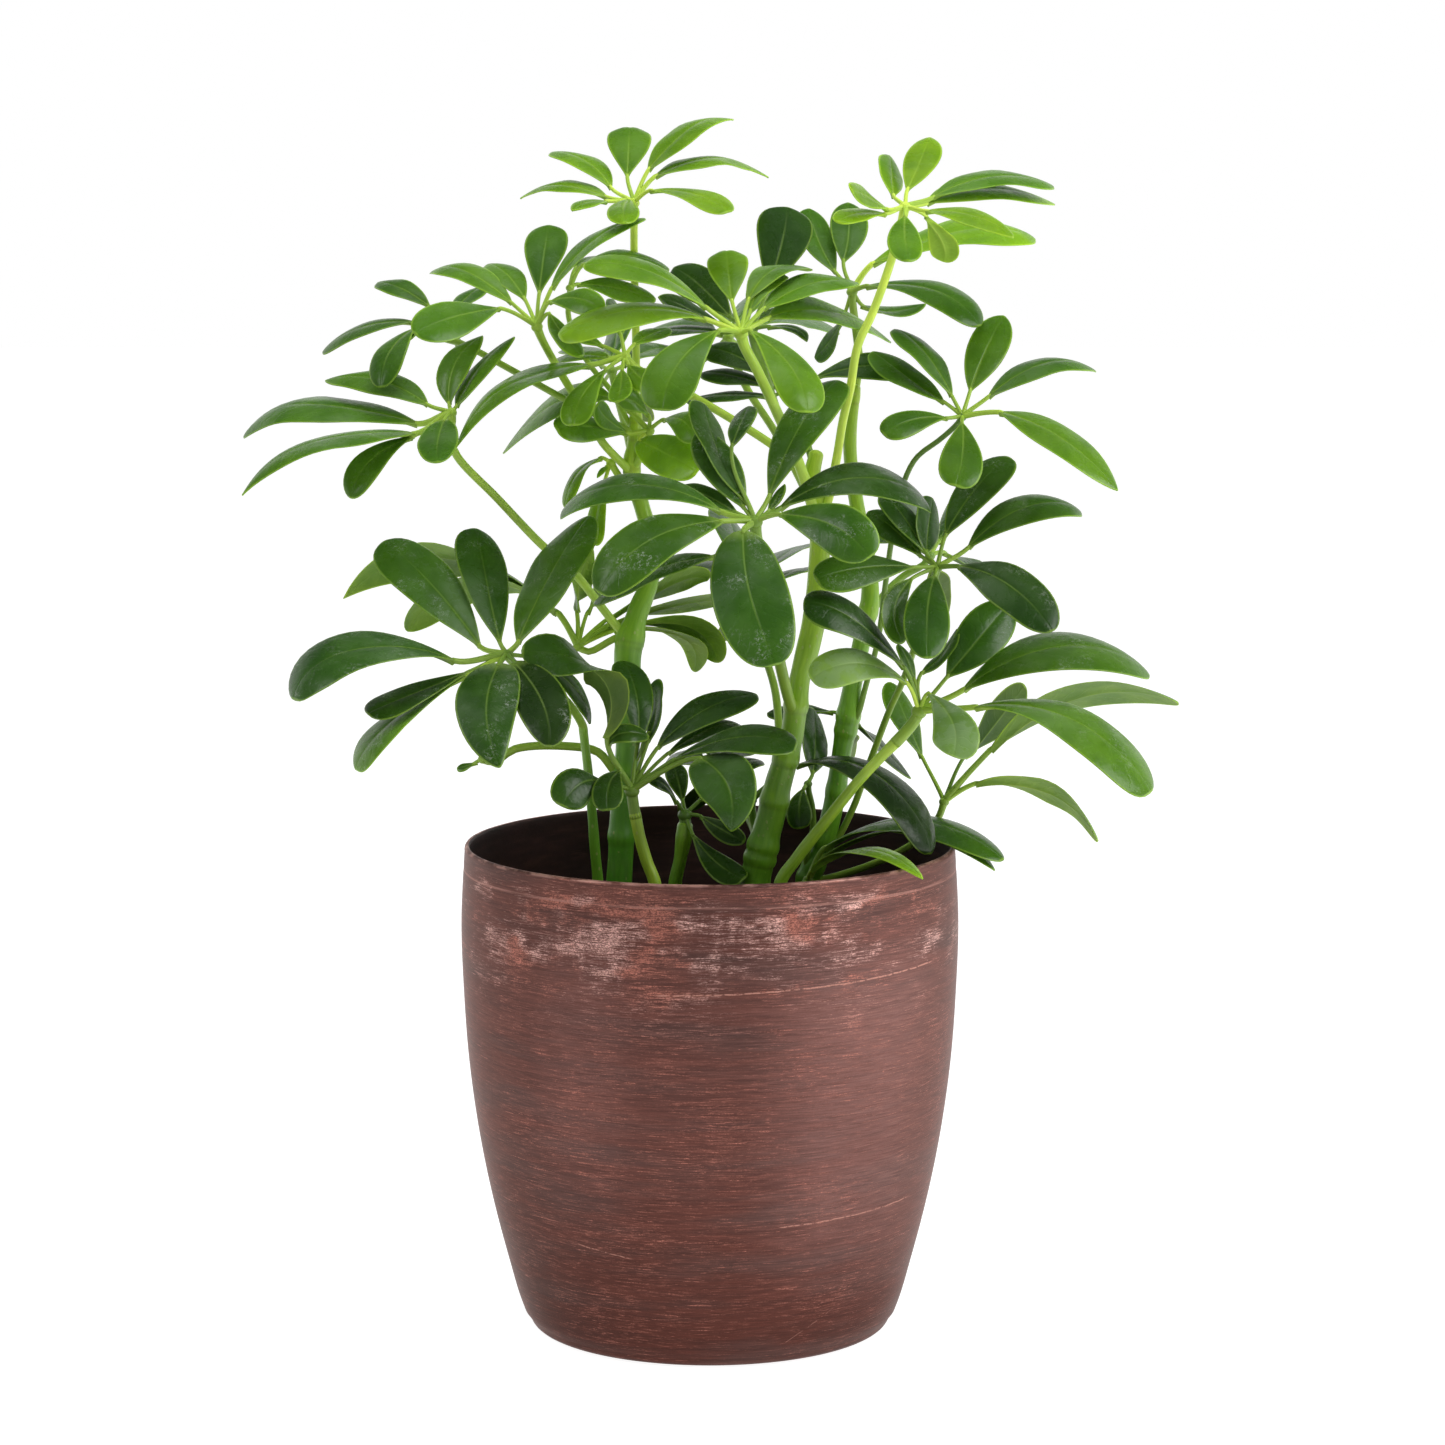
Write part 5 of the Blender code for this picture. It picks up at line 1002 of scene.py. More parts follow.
class Graph:
    """A material's node tree, built with short calls that return sockets."""

    def __init__(self, name):
        self.mat = bpy.data.materials.new(name)
        self.mat.use_nodes = True
        self.nt = self.mat.node_tree
        self.nt.nodes.clear()

    def node(self, kind, **props):
        n = self.nt.nodes.new(kind)
        for k, v in props.items():
            setattr(n, k, v)
        return n

    def put(self, sock, val):
        if isinstance(val, bpy.types.NodeSocket):
            self.nt.links.new(val, sock)
        elif val is not None:
            sock.default_value = val

    def math(self, op, a, b=None, c=None, clamp=False):
        n = self.node("ShaderNodeMath", operation=op, use_clamp=clamp)
        self.put(n.inputs[0], a)
        if b is not None:
            self.put(n.inputs[1], b)
        if c is not None:
            self.put(n.inputs[2], c)
        return n.outputs[0]

    def add(self, a, b):
        return self.math("ADD", a, b)

    def sub(self, a, b):
        return self.math("SUBTRACT", a, b)

    def mul(self, a, b, *more):
        r = self.math("MULTIPLY", a, b)
        for m in more:
            r = self.math("MULTIPLY", r, m)
        return r

    def step(self, lo, hi, x, a=0.0, b=1.0):
        """Smooth step of x from lo to hi, going from a to b."""
        n = self.node("ShaderNodeMapRange", interpolation_type="SMOOTHSTEP")
        self.put(n.inputs["Value"], x)
        n.inputs["From Min"].default_value = lo
        n.inputs["From Max"].default_value = hi
        n.inputs["To Min"].default_value = a
        n.inputs["To Max"].default_value = b
        return n.outputs["Result"]

    def line(self, lo, hi, x, a=0.0, b=1.0):
        n = self.node("ShaderNodeMapRange")
        self.put(n.inputs["Value"], x)
        n.inputs["From Min"].default_value = lo
        n.inputs["From Max"].default_value = hi
        n.inputs["To Min"].default_value = a
        n.inputs["To Max"].default_value = b
        return n.outputs["Result"]

    def mix(self, fac, a, b, blend="MIX"):
        n = self.node("ShaderNodeMix", data_type="RGBA", blend_type=blend)
        self.put(n.inputs["Factor"], fac)
        self.put(n.inputs[6], a)
        self.put(n.inputs[7], b)
        return n.outputs[2]

    def tint(self, col, r, gr, b):
        """The colour multiplied channel by channel."""
        return self.mix(1.0, col, (r, gr, b, 1.0), "MULTIPLY")

    def ramp(self, fac, stops, mode="LINEAR"):
        n = self.node("ShaderNodeValToRGB")
        n.color_ramp.interpolation = mode
        el = n.color_ramp.elements
        while len(el) > 1:
            el.remove(el[-1])
        el[0].position, el[0].color = stops[0]
        for p, c in stops[1:]:
            e = el.new(p)
            e.color = c
        self.put(n.inputs["Fac"], fac)
        return n.outputs["Color"]

    def uv(self, name):
        n = self.node("ShaderNodeUVMap", uv_map=name)
        s = self.node("ShaderNodeSeparateXYZ")
        self.nt.links.new(n.outputs[0], s.inputs[0])
        return n.outputs[0], s.outputs[0], s.outputs[1]

    def where(self):
        """Object coordinates, which are the same as the CAD's, in metres."""
        n = self.node("ShaderNodeTexCoord")
        return n.outputs["Object"]

    def split(self, vec):
        s = self.node("ShaderNodeSeparateXYZ")
        self.put(s.inputs[0], vec)
        return s.outputs[0], s.outputs[1], s.outputs[2]

    def vec(self, x, y, z):
        n = self.node("ShaderNodeCombineXYZ")
        for k, v in enumerate((x, y, z)):
            self.put(n.inputs[k], v)
        return n.outputs[0]

    def stretch(self, vec, scale, shift=(0.0, 0.0, 0.0), turn=(0.0, 0.0, 0.0)):
        n = self.node("ShaderNodeMapping")
        self.put(n.inputs["Vector"], vec)
        n.inputs["Location"].default_value = shift
        n.inputs["Rotation"].default_value = turn
        n.inputs["Scale"].default_value = scale
        return n.outputs[0]

    def noise(self, vec, scale, detail=3.0, rough=0.55, warp=0.0):
        n = self.node("ShaderNodeTexNoise")
        self.put(n.inputs["Vector"], vec)
        n.inputs["Scale"].default_value = scale
        n.inputs["Detail"].default_value = detail
        n.inputs["Roughness"].default_value = rough
        n.inputs["Distortion"].default_value = warp
        return n.outputs["Fac"]

    def cells(self, vec, scale, feature="F1", out="Distance", random=1.0):
        n = self.node("ShaderNodeTexVoronoi", feature=feature)
        self.put(n.inputs["Vector"], vec)
        n.inputs["Scale"].default_value = scale
        n.inputs["Randomness"].default_value = random
        return n.outputs[out]

    def bump(self, height, strength, distance, normal=None):
        n = self.node("ShaderNodeBump")
        n.inputs["Strength"].default_value = strength
        n.inputs["Distance"].default_value = distance
        self.put(n.inputs["Height"], height)
        if normal is not None:
            self.put(n.inputs["Normal"], normal)
        return n.outputs[0]

    def shader(self, color, rough, normal=None, metallic=None, **const):
        n = self.node("ShaderNodeBsdfPrincipled")
        self.put(n.inputs["Base Color"], color)
        self.put(n.inputs["Roughness"], rough)
        if metallic is not None:
            self.put(n.inputs["Metallic"], metallic)
        if normal is not None:
            self.put(n.inputs["Normal"], normal)
        for k, v in const.items():
            n.inputs[k.replace("_", " ")].default_value = v
        return n.outputs[0]

    def out(self, shader):
        n = self.node("ShaderNodeOutputMaterial")
        self.put(n.inputs["Surface"], shader)
        return self.mat


def leaf_material(name, under):
    """Waxy green leaf skin: midrib, faint side veins, thin light margin, dried water marks."""
    g = Graph(name)
    _, t, s = g.uv("place")
    _, ed, mid = g.uv("dist")
    ed, mid = g.mul(ed, 20.0), g.mul(mid, 20.0)
    _, age, rnd = g.uv("tone")
    _, spots, sheen = g.uv("extra")
    age = g.line(-0.3, 1.0, age)
    pos = g.where()
    broad = g.noise(pos, 62.0, 3.0, 0.55)
    cloud = g.noise(pos, 150.0, 4.0, 0.6)
    fine = g.noise(pos, 1500.0, 3.0, 0.6)
    if under:
        col = g.ramp(age, UNDER_RAMP)
    else:
        col = g.ramp(age, UPPER_RAMP)
    # slow changes of tone over a blade, all as tints of its own green
    col = g.mix(g.step(0.40, 0.68, broad), col, g.tint(col, 1.20, 1.16, 1.05))
    col = g.mix(g.step(0.56, 0.30, broad), col, g.tint(col, 0.78, 0.86, 0.80))
    col = g.mix(g.line(0.35, 0.65, cloud), col, g.tint(col, 0.88, 0.93, 0.85))
    col = g.mix(g.line(0.3, 0.7, fine, 0.0, 0.6), col, g.tint(col, 0.86, 0.90, 0.86))
    col = g.mix(rnd, g.tint(col, 0.94, 0.98, 1.05), g.tint(col, 1.10, 1.03, 0.92))
    # the green is fresher along the margin and towards the tip
    col = g.mix(g.mul(g.step(3.2, 0.2, ed), 0.75), col, g.tint(col, 1.16, 1.14, 0.92))
    col = g.mix(g.step(0.35, 1.0, t, 0.0, 0.8), col, g.tint(col, 1.10, 1.10, 0.98))
    # side veins run out and forward from the midrib, branching irregularly
    wob = g.noise(pos, 210.0, 3.0, 0.6)
    phase = g.add(g.add(g.mul(t, 9.5), g.mul(mid, -0.17)), g.mul(wob, 1.3))
    wave = g.math("SINE", g.mul(phase, 6.2832))
    vein = g.mul(g.step(0.80, 1.0, wave), g.step(0.3, 1.4, mid), g.step(0.6, 3.0, ed))
    col = g.mix(g.mul(vein, 0.45 if not under else 0.7), col, g.tint(col, 1.15, 1.12, 1.15))
    # midrib with a soft light band either side near the foot
    rib = g.step(0.46, 0.16, mid)
    fade = g.step(0.40, 0.95, t, 1.0, 0.05)
    col = g.mix(g.mul(rib, fade, 0.62 if not under else 0.8), col, g.mix(0.5, g.tint(col, 1.9, 1.6, 1.7), lin(146, 178, 84)))
    halo = g.mul(g.step(1.7, 0.2, mid), g.step(0.60, 0.05, t))
    col = g.mix(g.mul(halo, 0.55), col, g.tint(col, 1.35, 1.24, 1.3))
    # thin pale margin, and the pale foot of the blade
    edge = g.step(0.78, 0.34, ed)
    col = g.mix(g.mul(edge, 0.85), col, g.mix(0.45, g.tint(col, 2.1, 1.8, 1.3), lin(168, 204, 78)))
    foot = g.step(0.10, 0.0, t)
    col = g.mix(g.mul(foot, 0.8), col, lin(138, 170, 72))
    # dried water marks: thin scribbled outlines and specks in loose groups
    n1 = g.noise(pos, 330.0, 5.0, 0.62, 0.8)
    n2 = g.noise(g.stretch(pos, (1.0, 1.0, 1.0), (0.31, 0.17, 0.05)), 520.0, 4.0, 0.62, 0.6)
    line1 = g.step(0.016, 0.004, g.math("ABSOLUTE", g.sub(n1, 0.5)))
    line2 = g.step(0.014, 0.003, g.math("ABSOLUTE", g.sub(n2, 0.47)))
    group = g.step(0.50, 0.66, g.noise(pos, 85.0, 3.0, 0.6))
    broken = g.step(0.42, 0.58, g.noise(pos, 900.0, 3.0, 0.6))
    speck = g.step(0.66, 0.74, g.noise(pos, 1500.0, 2.0, 0.7))
    dirt = g.math("MAXIMUM", g.mul(g.math("MAXIMUM", line1, line2), broken), g.mul(speck, 0.8))
    dirt = g.mul(dirt, group, spots)
    height = g.add(g.mul(vein, -0.30 if not under else 0.6), g.mul(fine, 0.22))
    height = g.add(height, g.mul(g.noise(pos, 300.0, 2.0, 0.5), 0.9))
    height = g.add(height, g.mul(g.noise(pos, 95.0, 2.0, 0.5), 3.2))
    height = g.add(height, g.mul(rib, -0.8 if not under else 1.2))
    nrm = g.bump(height, 0.24 if not under else 0.30, 0.0006)
    if under:
        rough = g.line(0.0, 1.0, fine, 0.50, 0.62)
        main = g.shader(col, rough, nrm, Specular_IOR_Level=0.2)
    else:
        # painted highlight: each half of the blade is paler in its middle, standing in for a soft reflection
        half = g.mul(g.step(0.3, 2.4, mid), g.step(0.3, 2.4, ed), g.step(0.04, 0.28, t), g.step(1.0, 0.50, t))
        soft = g.mul(half, g.step(0.42, 0.62, broad))
        col = g.mix(g.mul(soft, g.line(0.0, 1.6, sheen, 0.0, 0.17)), col, lin(140, 176, 124))
        col = g.mix(g.mul(dirt, 0.75), col, lin(214, 222, 208))
        # painted sheen: pale grey-green soft patches beside the midrib near the foot, standing in for soft reflections
        painted_sheen = g.mul(g.step(0.80, 0.10, t), g.step(0.42, 0.72, g.noise(pos, 48.0, 3.0, 0.6)), g.step(0.0, 1.5, mid), sheen)
        painted_sheen = g.add(painted_sheen, g.mul(g.step(0.9, 1.6, sheen), g.step(0.35, 0.60, cloud, 0.5, 1.1)))
        col = g.mix(g.mul(painted_sheen, 0.34), col, lin(168, 184, 160))
        rough = g.add(g.line(0.3, 0.7, cloud, 0.22, 0.33), g.mul(dirt, 0.3))
        main = g.shader(col, rough, nrm, Specular_IOR_Level=0.38)
    tr = g.node("ShaderNodeBsdfTranslucent")
    g.put(tr.inputs["Color"], g.mix(0.6, col, g.ramp(age, [(0.23, lin(160, 214, 40)), (1.0, lin(84, 140, 30))])))
    m = g.node("ShaderNodeMixShader")
    m.inputs[0].default_value = 0.22
    g.put(m.inputs[1], main)
    g.put(m.inputs[2], tr.outputs[0])
    return g.out(m.outputs[0])


UPPER_RAMP = [(0.0, lin(146, 190, 44)), (0.23, lin(114, 155, 25)), (0.423, lin(92, 136, 28)), (0.615, lin(71, 113, 28)), (0.808, lin(54, 92, 26)), (1.0, lin(36, 61, 20))]
UNDER_RAMP = [(0.0, lin(168, 202, 96)), (0.23, lin(156, 194, 78)), (0.46, lin(140, 174, 74)), (0.69, lin(112, 142, 64)), (1.0, lin(76, 102, 48))]


def stalk_material(name):
    """Smooth green stalks: light where young, with fine lengthways lines."""
    g = Graph(name)
    _, run, turn = g.uv("place")
    _, age, rnd = g.uv("tone")
    pos = g.where()
    col = g.ramp(age, [(0.0, lin(202, 228, 84)), (0.2, lin(170, 204, 72)), (0.45, lin(148, 180, 66)), (0.7, lin(124, 158, 60)), (1.0, lin(86, 120, 48))])
    lines = g.noise(g.vec(g.mul(run, 0.35), g.mul(turn, 9.0), rnd), 2.2, 3.0, 0.6)
    col = g.mix(g.line(0.35, 0.7, lines), col, g.tint(col, 0.80, 0.86, 0.74))
    broad = g.noise(pos, 120.0, 3.0, 0.55)
    col = g.mix(g.step(0.45, 0.72, broad), col, g.tint(col, 1.18, 1.12, 1.05))
    dots = g.step(0.66, 0.76, g.noise(pos, 1100.0, 2.0, 0.6))
    col = g.mix(g.mul(dots, 0.30), col, lin(192, 204, 128))
    nrm = g.bump(g.add(g.mul(lines, 0.7), g.mul(g.noise(pos, 700.0, 3.0, 0.6), 0.3)), 0.22, 0.0005)
    rough = g.line(0.0, 1.0, broad, 0.32, 0.44)
    return g.out(g.shader(col, rough, nrm, Specular_IOR_Level=0.4))


def stem_material(name):
    """Green stems, duller and rougher low down, with leaf rings and corky dots."""
    g = Graph(name)
    _, run, turn = g.uv("place")
    _, age, rnd = g.uv("tone")
    _, ring, scar = g.uv("extra")
    pos = g.where()
    col = g.ramp(age, [(0.0, lin(182, 214, 66)), (0.25, lin(154, 190, 54)), (0.5, lin(114, 168, 42)), (0.75, lin(80, 142, 34)), (1.0, lin(58, 108, 28))])
    lines = g.noise(g.vec(g.mul(run, 0.30), g.mul(turn, 7.0), rnd), 3.0, 4.0, 0.62)
    col = g.mix(g.line(0.38, 0.7, lines), col, g.tint(col, 0.74, 0.82, 0.66))
    broad = g.noise(g.stretch(pos, (1.0, 1.0, 0.35)), 130.0, 4.0, 0.6)
    col = g.mix(g.step(0.45, 0.75, broad), col, g.tint(col, 1.28, 1.18, 1.15))
    bark = g.mul(g.step(0.62, 1.0, age), g.step(0.46, 0.66, g.noise(g.stretch(pos, (1.0, 1.0, 0.5)), 260.0, 4.0, 0.65)))
    col = g.mix(g.mul(bark, 0.40), col, lin(100, 100, 58))
    dots = g.cells(g.stretch(pos, (1.0, 1.0, 0.6)), 520.0)
    dots = g.mul(g.step(0.26, 0.14, dots), g.step(0.45, 0.6, g.noise(pos, 300.0, 2.0, 0.5)))
    col = g.mix(g.mul(dots, 0.45), col, lin(176, 180, 112))
    col = g.mix(g.mul(ring, 0.45), col, g.tint(col, 1.40, 1.25, 1.1))
    col = g.mix(g.mul(scar, 0.60), col, g.tint(col, 0.60, 0.54, 0.5))
    h = g.add(g.mul(lines, 0.8), g.mul(dots, 0.6))
    h = g.add(h, g.mul(g.noise(pos, 600.0, 4.0, 0.6), 0.5))
    nrm = g.bump(h, 0.30, 0.0006)
    rough = g.add(g.line(0.0, 1.0, broad, 0.26, 0.38), g.mul(bark, 0.15))
    return g.out(g.shader(col, rough, nrm, Specular_IOR_Level=0.5))


def soil_material(name):
    g = Graph(name)
    pos = g.where()
    big = g.noise(pos, 90.0, 4.0, 0.6)
    small = g.noise(pos, 900.0, 6.0, 0.7)
    grain = g.cells(pos, 700.0, out="Color")
    gx, gy, gz = g.split(grain)
    col = g.ramp(big, [(0.3, lin(26, 19, 15)), (0.5, lin(44, 32, 24)), (0.72, lin(64, 46, 33))])
    col = g.mix(g.line(0.0, 1.0, gx, 0.0, 0.55), col, lin(30, 22, 17))
    col = g.mix(g.mul(g.step(0.80, 0.95, gy), 0.55), col, lin(112, 84, 56))
    col = g.mix(g.step(0.45, 0.75, small, 0.0, 0.5), col, lin(20, 15, 12))
    h = g.add(g.mul(small, 0.8), g.mul(g.cells(pos, 700.0), 0.7))
    nrm = g.bump(h, 0.9, 0.0012)
    return g.out(g.shader(col, g.line(0.0, 1.0, small, 0.78, 0.98), nrm, Specular_IOR_Level=0.2))


def chip_material(name):
    g = Graph(name)
    _, a, b = g.uv("tone")
    pos = g.where()
    col = g.ramp(a, [(0.0, lin(34, 24, 18)), (0.35, lin(62, 43, 29)), (0.6, lin(88, 62, 40)), (0.8, lin(128, 98, 64)), (0.93, lin(170, 146, 108)), (1.0, lin(205, 200, 190))])
    grain = g.noise(g.stretch(pos, (1.0, 1.0, 1.0)), 1200.0, 5.0, 0.7)
    col = g.mix(g.line(0.3, 0.75, grain, 0.0, 0.6), col, lin(24, 17, 13))
    nrm = g.bump(grain, 0.7, 0.0006)
    return g.out(g.shader(col, g.line(0.0, 1.0, grain, 0.7, 0.95), nrm, Specular_IOR_Level=0.25))


def pot_material(name, inside):
    """Dark bronze paint, dry-brushed round and round with a paler copper."""
    g = Graph(name)
    pos = g.where()
    x, y, z = g.split(pos)
    if inside:
        n = g.noise(g.stretch(pos, (1.0, 1.0, 5.0)), 60.0, 5.0, 0.6)
        fine = g.noise(pos, 1400.0, 4.0, 0.6)
        col = g.ramp(n, [(0.3, lin(40, 22, 22)), (0.55, lin(54, 31, 30)), (0.8, lin(78, 48, 44))])
        col = g.mix(g.mul(g.step(0.60, 0.72, g.noise(g.stretch(pos, (1.0, 1.0, 14.0)), 70.0, 5.0, 0.65)), 0.25), col, lin(110, 72, 64))
        nrm = g.bump(fine, 0.25, 0.0004)
        return g.out(g.shader(col, g.line(0.0, 1.0, fine, 0.5, 0.68), nrm, Specular_IOR_Level=0.35))
    up = g.line(0.0, 0.165, z)
    # smooth red-brown ground with slow bands of a greyer brown
    band = g.noise(g.stretch(pos, (1.0, 1.0, 7.0)), 13.0, 3.0, 0.5)
    mid = g.noise(g.stretch(pos, (1.0, 1.0, 16.0), (0.5, 0.2, 0.1)), 34.0, 4.0, 0.6)
    line = g.noise(g.stretch(pos, (1.0, 1.0, 24.0), (0.2, 0.6, 0.3)), 90.0, 4.0, 0.62)
    grain = g.noise(g.stretch(pos, (1.0, 1.0, 2.0)), 1700.0, 2.0, 0.7)
    # the ground darkens towards the foot: painted shade
    col = g.ramp(up, [(0.0, lin(84, 44, 36)), (0.2, lin(94, 53, 45)), (0.6, lin(104, 65, 58)), (1.0, lin(110, 71, 64))])
    col = g.mix(g.step(0.44, 0.66, band, 0.0, 0.70), col, g.mix(0.6, g.tint(col, 0.80, 0.92, 0.98), lin(92, 70, 66)))
    col = g.mix(g.step(0.42, 0.60, mid, 0.0, 0.85), col, g.tint(col, 0.78, 0.83, 0.86))
    col = g.mix(g.step(0.52, 0.34, line, 0.0, 0.8), col, g.tint(col, 0.78, 0.77, 0.77))
    col = g.mix(g.step(0.50, 0.68, line, 0.0, 0.8), col, g.tint(col, 1.32, 1.32, 1.32))
    # painted highlight: a paler vertical band down the right of the front and a weaker one on the left stand in for
    # soft reflections; painted shade makes the pot darker low on the left
    front = g.step(0.0, -0.03, y)
    painted_highlight = g.mul(g.step(0.006, 0.042, x), g.step(0.082, 0.056, x), front, g.step(0.012, 0.060, z), g.step(0.154, 0.120, z))
    painted_highlight_left = g.mul(g.step(-0.062, -0.046, x), g.step(-0.020, -0.038, x), front, g.step(0.03, 0.09, z), g.step(0.160, 0.130, z))
    painted_highlight = g.math("MAXIMUM", painted_highlight, g.mul(painted_highlight_left, 0.42))
    col = g.mix(g.mul(painted_highlight, g.line(0.3, 0.7, line, 0.16, 0.40)), col, lin(160, 120, 114))
    # painted shade: the pot is darker low on the left
    painted_shade_low_left = g.mul(g.step(0.100, 0.010, z), g.step(0.015, -0.050, x))
    col = g.mix(painted_shade_low_left, col, g.tint(col, 0.74, 0.70, 0.68))
    # where the dry brush pressed: under the rim, more to the left and front
    patch = g.noise(g.stretch(pos, (1.0, 1.0, 1.3), (0.21, 0.07, 0.33)), 34.0, 3.0, 0.55)
    drip = g.noise(g.stretch(pos, (1.0, 1.0, 0.25), (0.4, 0.9, 0.1)), 75.0, 3.0, 0.6)
    rows = g.noise(g.stretch(pos, (0.16, 0.16, 1.0), (0.3, 0.5, 0.7)), 190.0, 3.0, 0.6)
    blot = g.noise(g.stretch(pos, (1.0, 1.0, 3.2), (0.11, 0.23, 0.05)), 58.0, 4.0, 0.6)
    crown = g.mul(g.step(0.108, 0.140, z), g.step(0.1645, 0.1560, z))
    side = g.mul(g.step(-0.082, -0.050, x, 0.1, 1.0), g.line(-0.02, 0.075, x, 1.0, 0.55), g.line(0.06, -0.04, y, 0.35, 1.0))
    press = g.add(g.mul(g.sub(patch, 0.5), 0.30), g.mul(crown, side, 0.060))
    press = g.add(press, g.mul(crown, g.sub(drip, 0.5), 0.46))
    press = g.add(press, g.mul(crown, g.sub(rows, 0.5), 0.56))
    press = g.add(press, g.mul(crown, g.sub(blot, 0.5), 0.42))
    press = g.add(press, g.mul(g.step(0.00, 0.06, z), side, 0.040))
    # short pale dashes a third of a millimetre thick
    dash = g.noise(g.stretch(pos, (1.0, 1.0, 13.0), (0.37, 0.11, 0.0)), 230.0, 5.0, 0.68)
    hair = g.noise(g.stretch(pos, (1.0, 1.0, 34.0), (0.9, 0.3, 0.2)), 62.0, 4.0, 0.62)
    s1 = g.step(0.620, 0.740, g.add(dash, press))
    s2 = g.step(0.630, 0.720, g.add(hair, g.mul(press, 0.55)))
    thin = g.noise(g.stretch(pos, (1.0, 1.0, 18.0), (0.15, 0.45, 0.6)), 140.0, 4.0, 0.66)
    s3 = g.step(0.54, 0.70, g.add(thin, g.mul(press, 0.45)))
    speckle = g.step(0.38, 0.60, g.noise(g.stretch(pos, (1.0, 1.0, 1.6)), 1500.0, 2.0, 0.75))
    s = g.math("MAXIMUM", g.mul(s1, g.line(0.0, 1.0, speckle, 0.15, 1.0)), g.mul(s2, g.line(0.0, 1.0, speckle, 0.15, 0.85)))
    s = g.math("MAXIMUM", s, g.mul(s3, g.line(0.0, 1.0, speckle, 0.10, 0.42)))
    warm = g.step(0.44, 0.56, g.noise(g.stretch(pos, (1.0, 1.0, 1.5), (0.7, 0.2, 0.4)), 40.0, 3.0, 0.55))
    col = g.mix(g.mul(s, 0.85), col, g.mix(g.mul(crown, warm), lin(206, 130, 112), lin(255, 202, 190)))
    # pale broken line along the top of the lip: a painted highlight
    painted_lip_highlight = g.mul(g.step(0.1636, 0.1646, z), g.step(0.40, 0.62, g.noise(g.stretch(pos, (1.0, 1.0, 3.0)), 120.0, 4.0, 0.65)))
    col = g.mix(g.mul(painted_lip_highlight, 0.75), col, lin(206, 156, 144))
    # fine turned line under the rim
    groove = g.mul(g.step(0.0006, 0.0002, g.math("ABSOLUTE", g.sub(z, 0.1572))), g.step(0.35, 0.6, hair))
    col = g.mix(g.mul(groove, 0.55), col, lin(186, 136, 124))
    # long slanted scratches
    ang = g.math("ARCTAN2", x, g.mul(y, -1.0))
    total = None
    for a0, a1, z0, slope, bend, w, strong in SCRATCHES:
        d = g.sub(g.sub(z, z0), g.add(g.mul(g.sub(ang, a0), slope), g.mul(g.math("POWER", g.math("ABSOLUTE", g.sub(ang, a0)), 2.0), bend)))
        d = g.math("ABSOLUTE", g.add(d, g.mul(g.sub(g.noise(pos, 260.0, 2.0, 0.5), 0.5), 0.0006)))
        m = g.mul(g.step(w, w*0.35, d), g.step(a0, a0+0.03, ang), g.step(a1, a1-0.05, ang))
        m = g.mul(m, g.step(0.36, 0.55, g.noise(pos, 480.0, 4.0, 0.7)), strong)
        total = m if total is None else g.math("MAXIMUM", total, m)
    col = g.mix(g.mul(total, 0.85), col, lin(198, 142, 126))
    col = g.mix(g.line(0.35, 0.75, grain, 0.0, 0.8), col, g.tint(col, 0.80, 0.80, 0.80))
    s = g.math("MAXIMUM", s, painted_lip_highlight)
    h = g.add(g.mul(line, 0.45), g.mul(s, 0.45))
    h = g.add(h, g.mul(grain, 0.35))
    nrm = g.bump(h, 0.22, 0.0004)
    met = g.sub(0.55, g.mul(s, 0.20))
    rough = g.sub(g.line(0.0, 1.0, grain, 0.34, 0.46), g.mul(s, 0.04))
    return g.out(g.shader(col, rough, nrm, metallic=met, Specular_IOR_Level=0.50, Specular_Tint=(0.60, 0.46, 0.42, 1.0)))


# start angle, end angle (from the front, to the right), height, slope, bend, half width, strength
SCRATCHES = [
    (-0.22, 1.08, 0.1288, 0.0022, 0.0004, 0.00034, 1.0),
    (0.30, 1.08, 0.0500, 0.0026, 0.0000, 0.00030, 0.9),
    (0.38, 0.66, 0.0075, 0.0400, 0.0000, 0.00022, 0.40),
    (-0.64, -0.34, 0.0415, -0.0100, 0.0000, 0.00028, 0.7),
    (1.9, 3.0, 0.1180, 0.0040, -0.0010, 0.00032, 0.9),
    (-3.0, -1.9, 0.0740, 0.0040, 0.0005, 0.00032, 0.8),
]


LEAF_UPPER = leaf_material("leaf_upper", False)
LEAF_UNDER = leaf_material("leaf_under", True)
STALKS = stalk_material("leaf_stalk")
STEM = stem_material("green_stem")
SOIL = soil_material("potting_mix")
CHIPS = chip_material("bark_chips")
POT_OUT = pot_material("brushed_copper", False)
POT_IN = pot_material("dark_inner_wall", True)


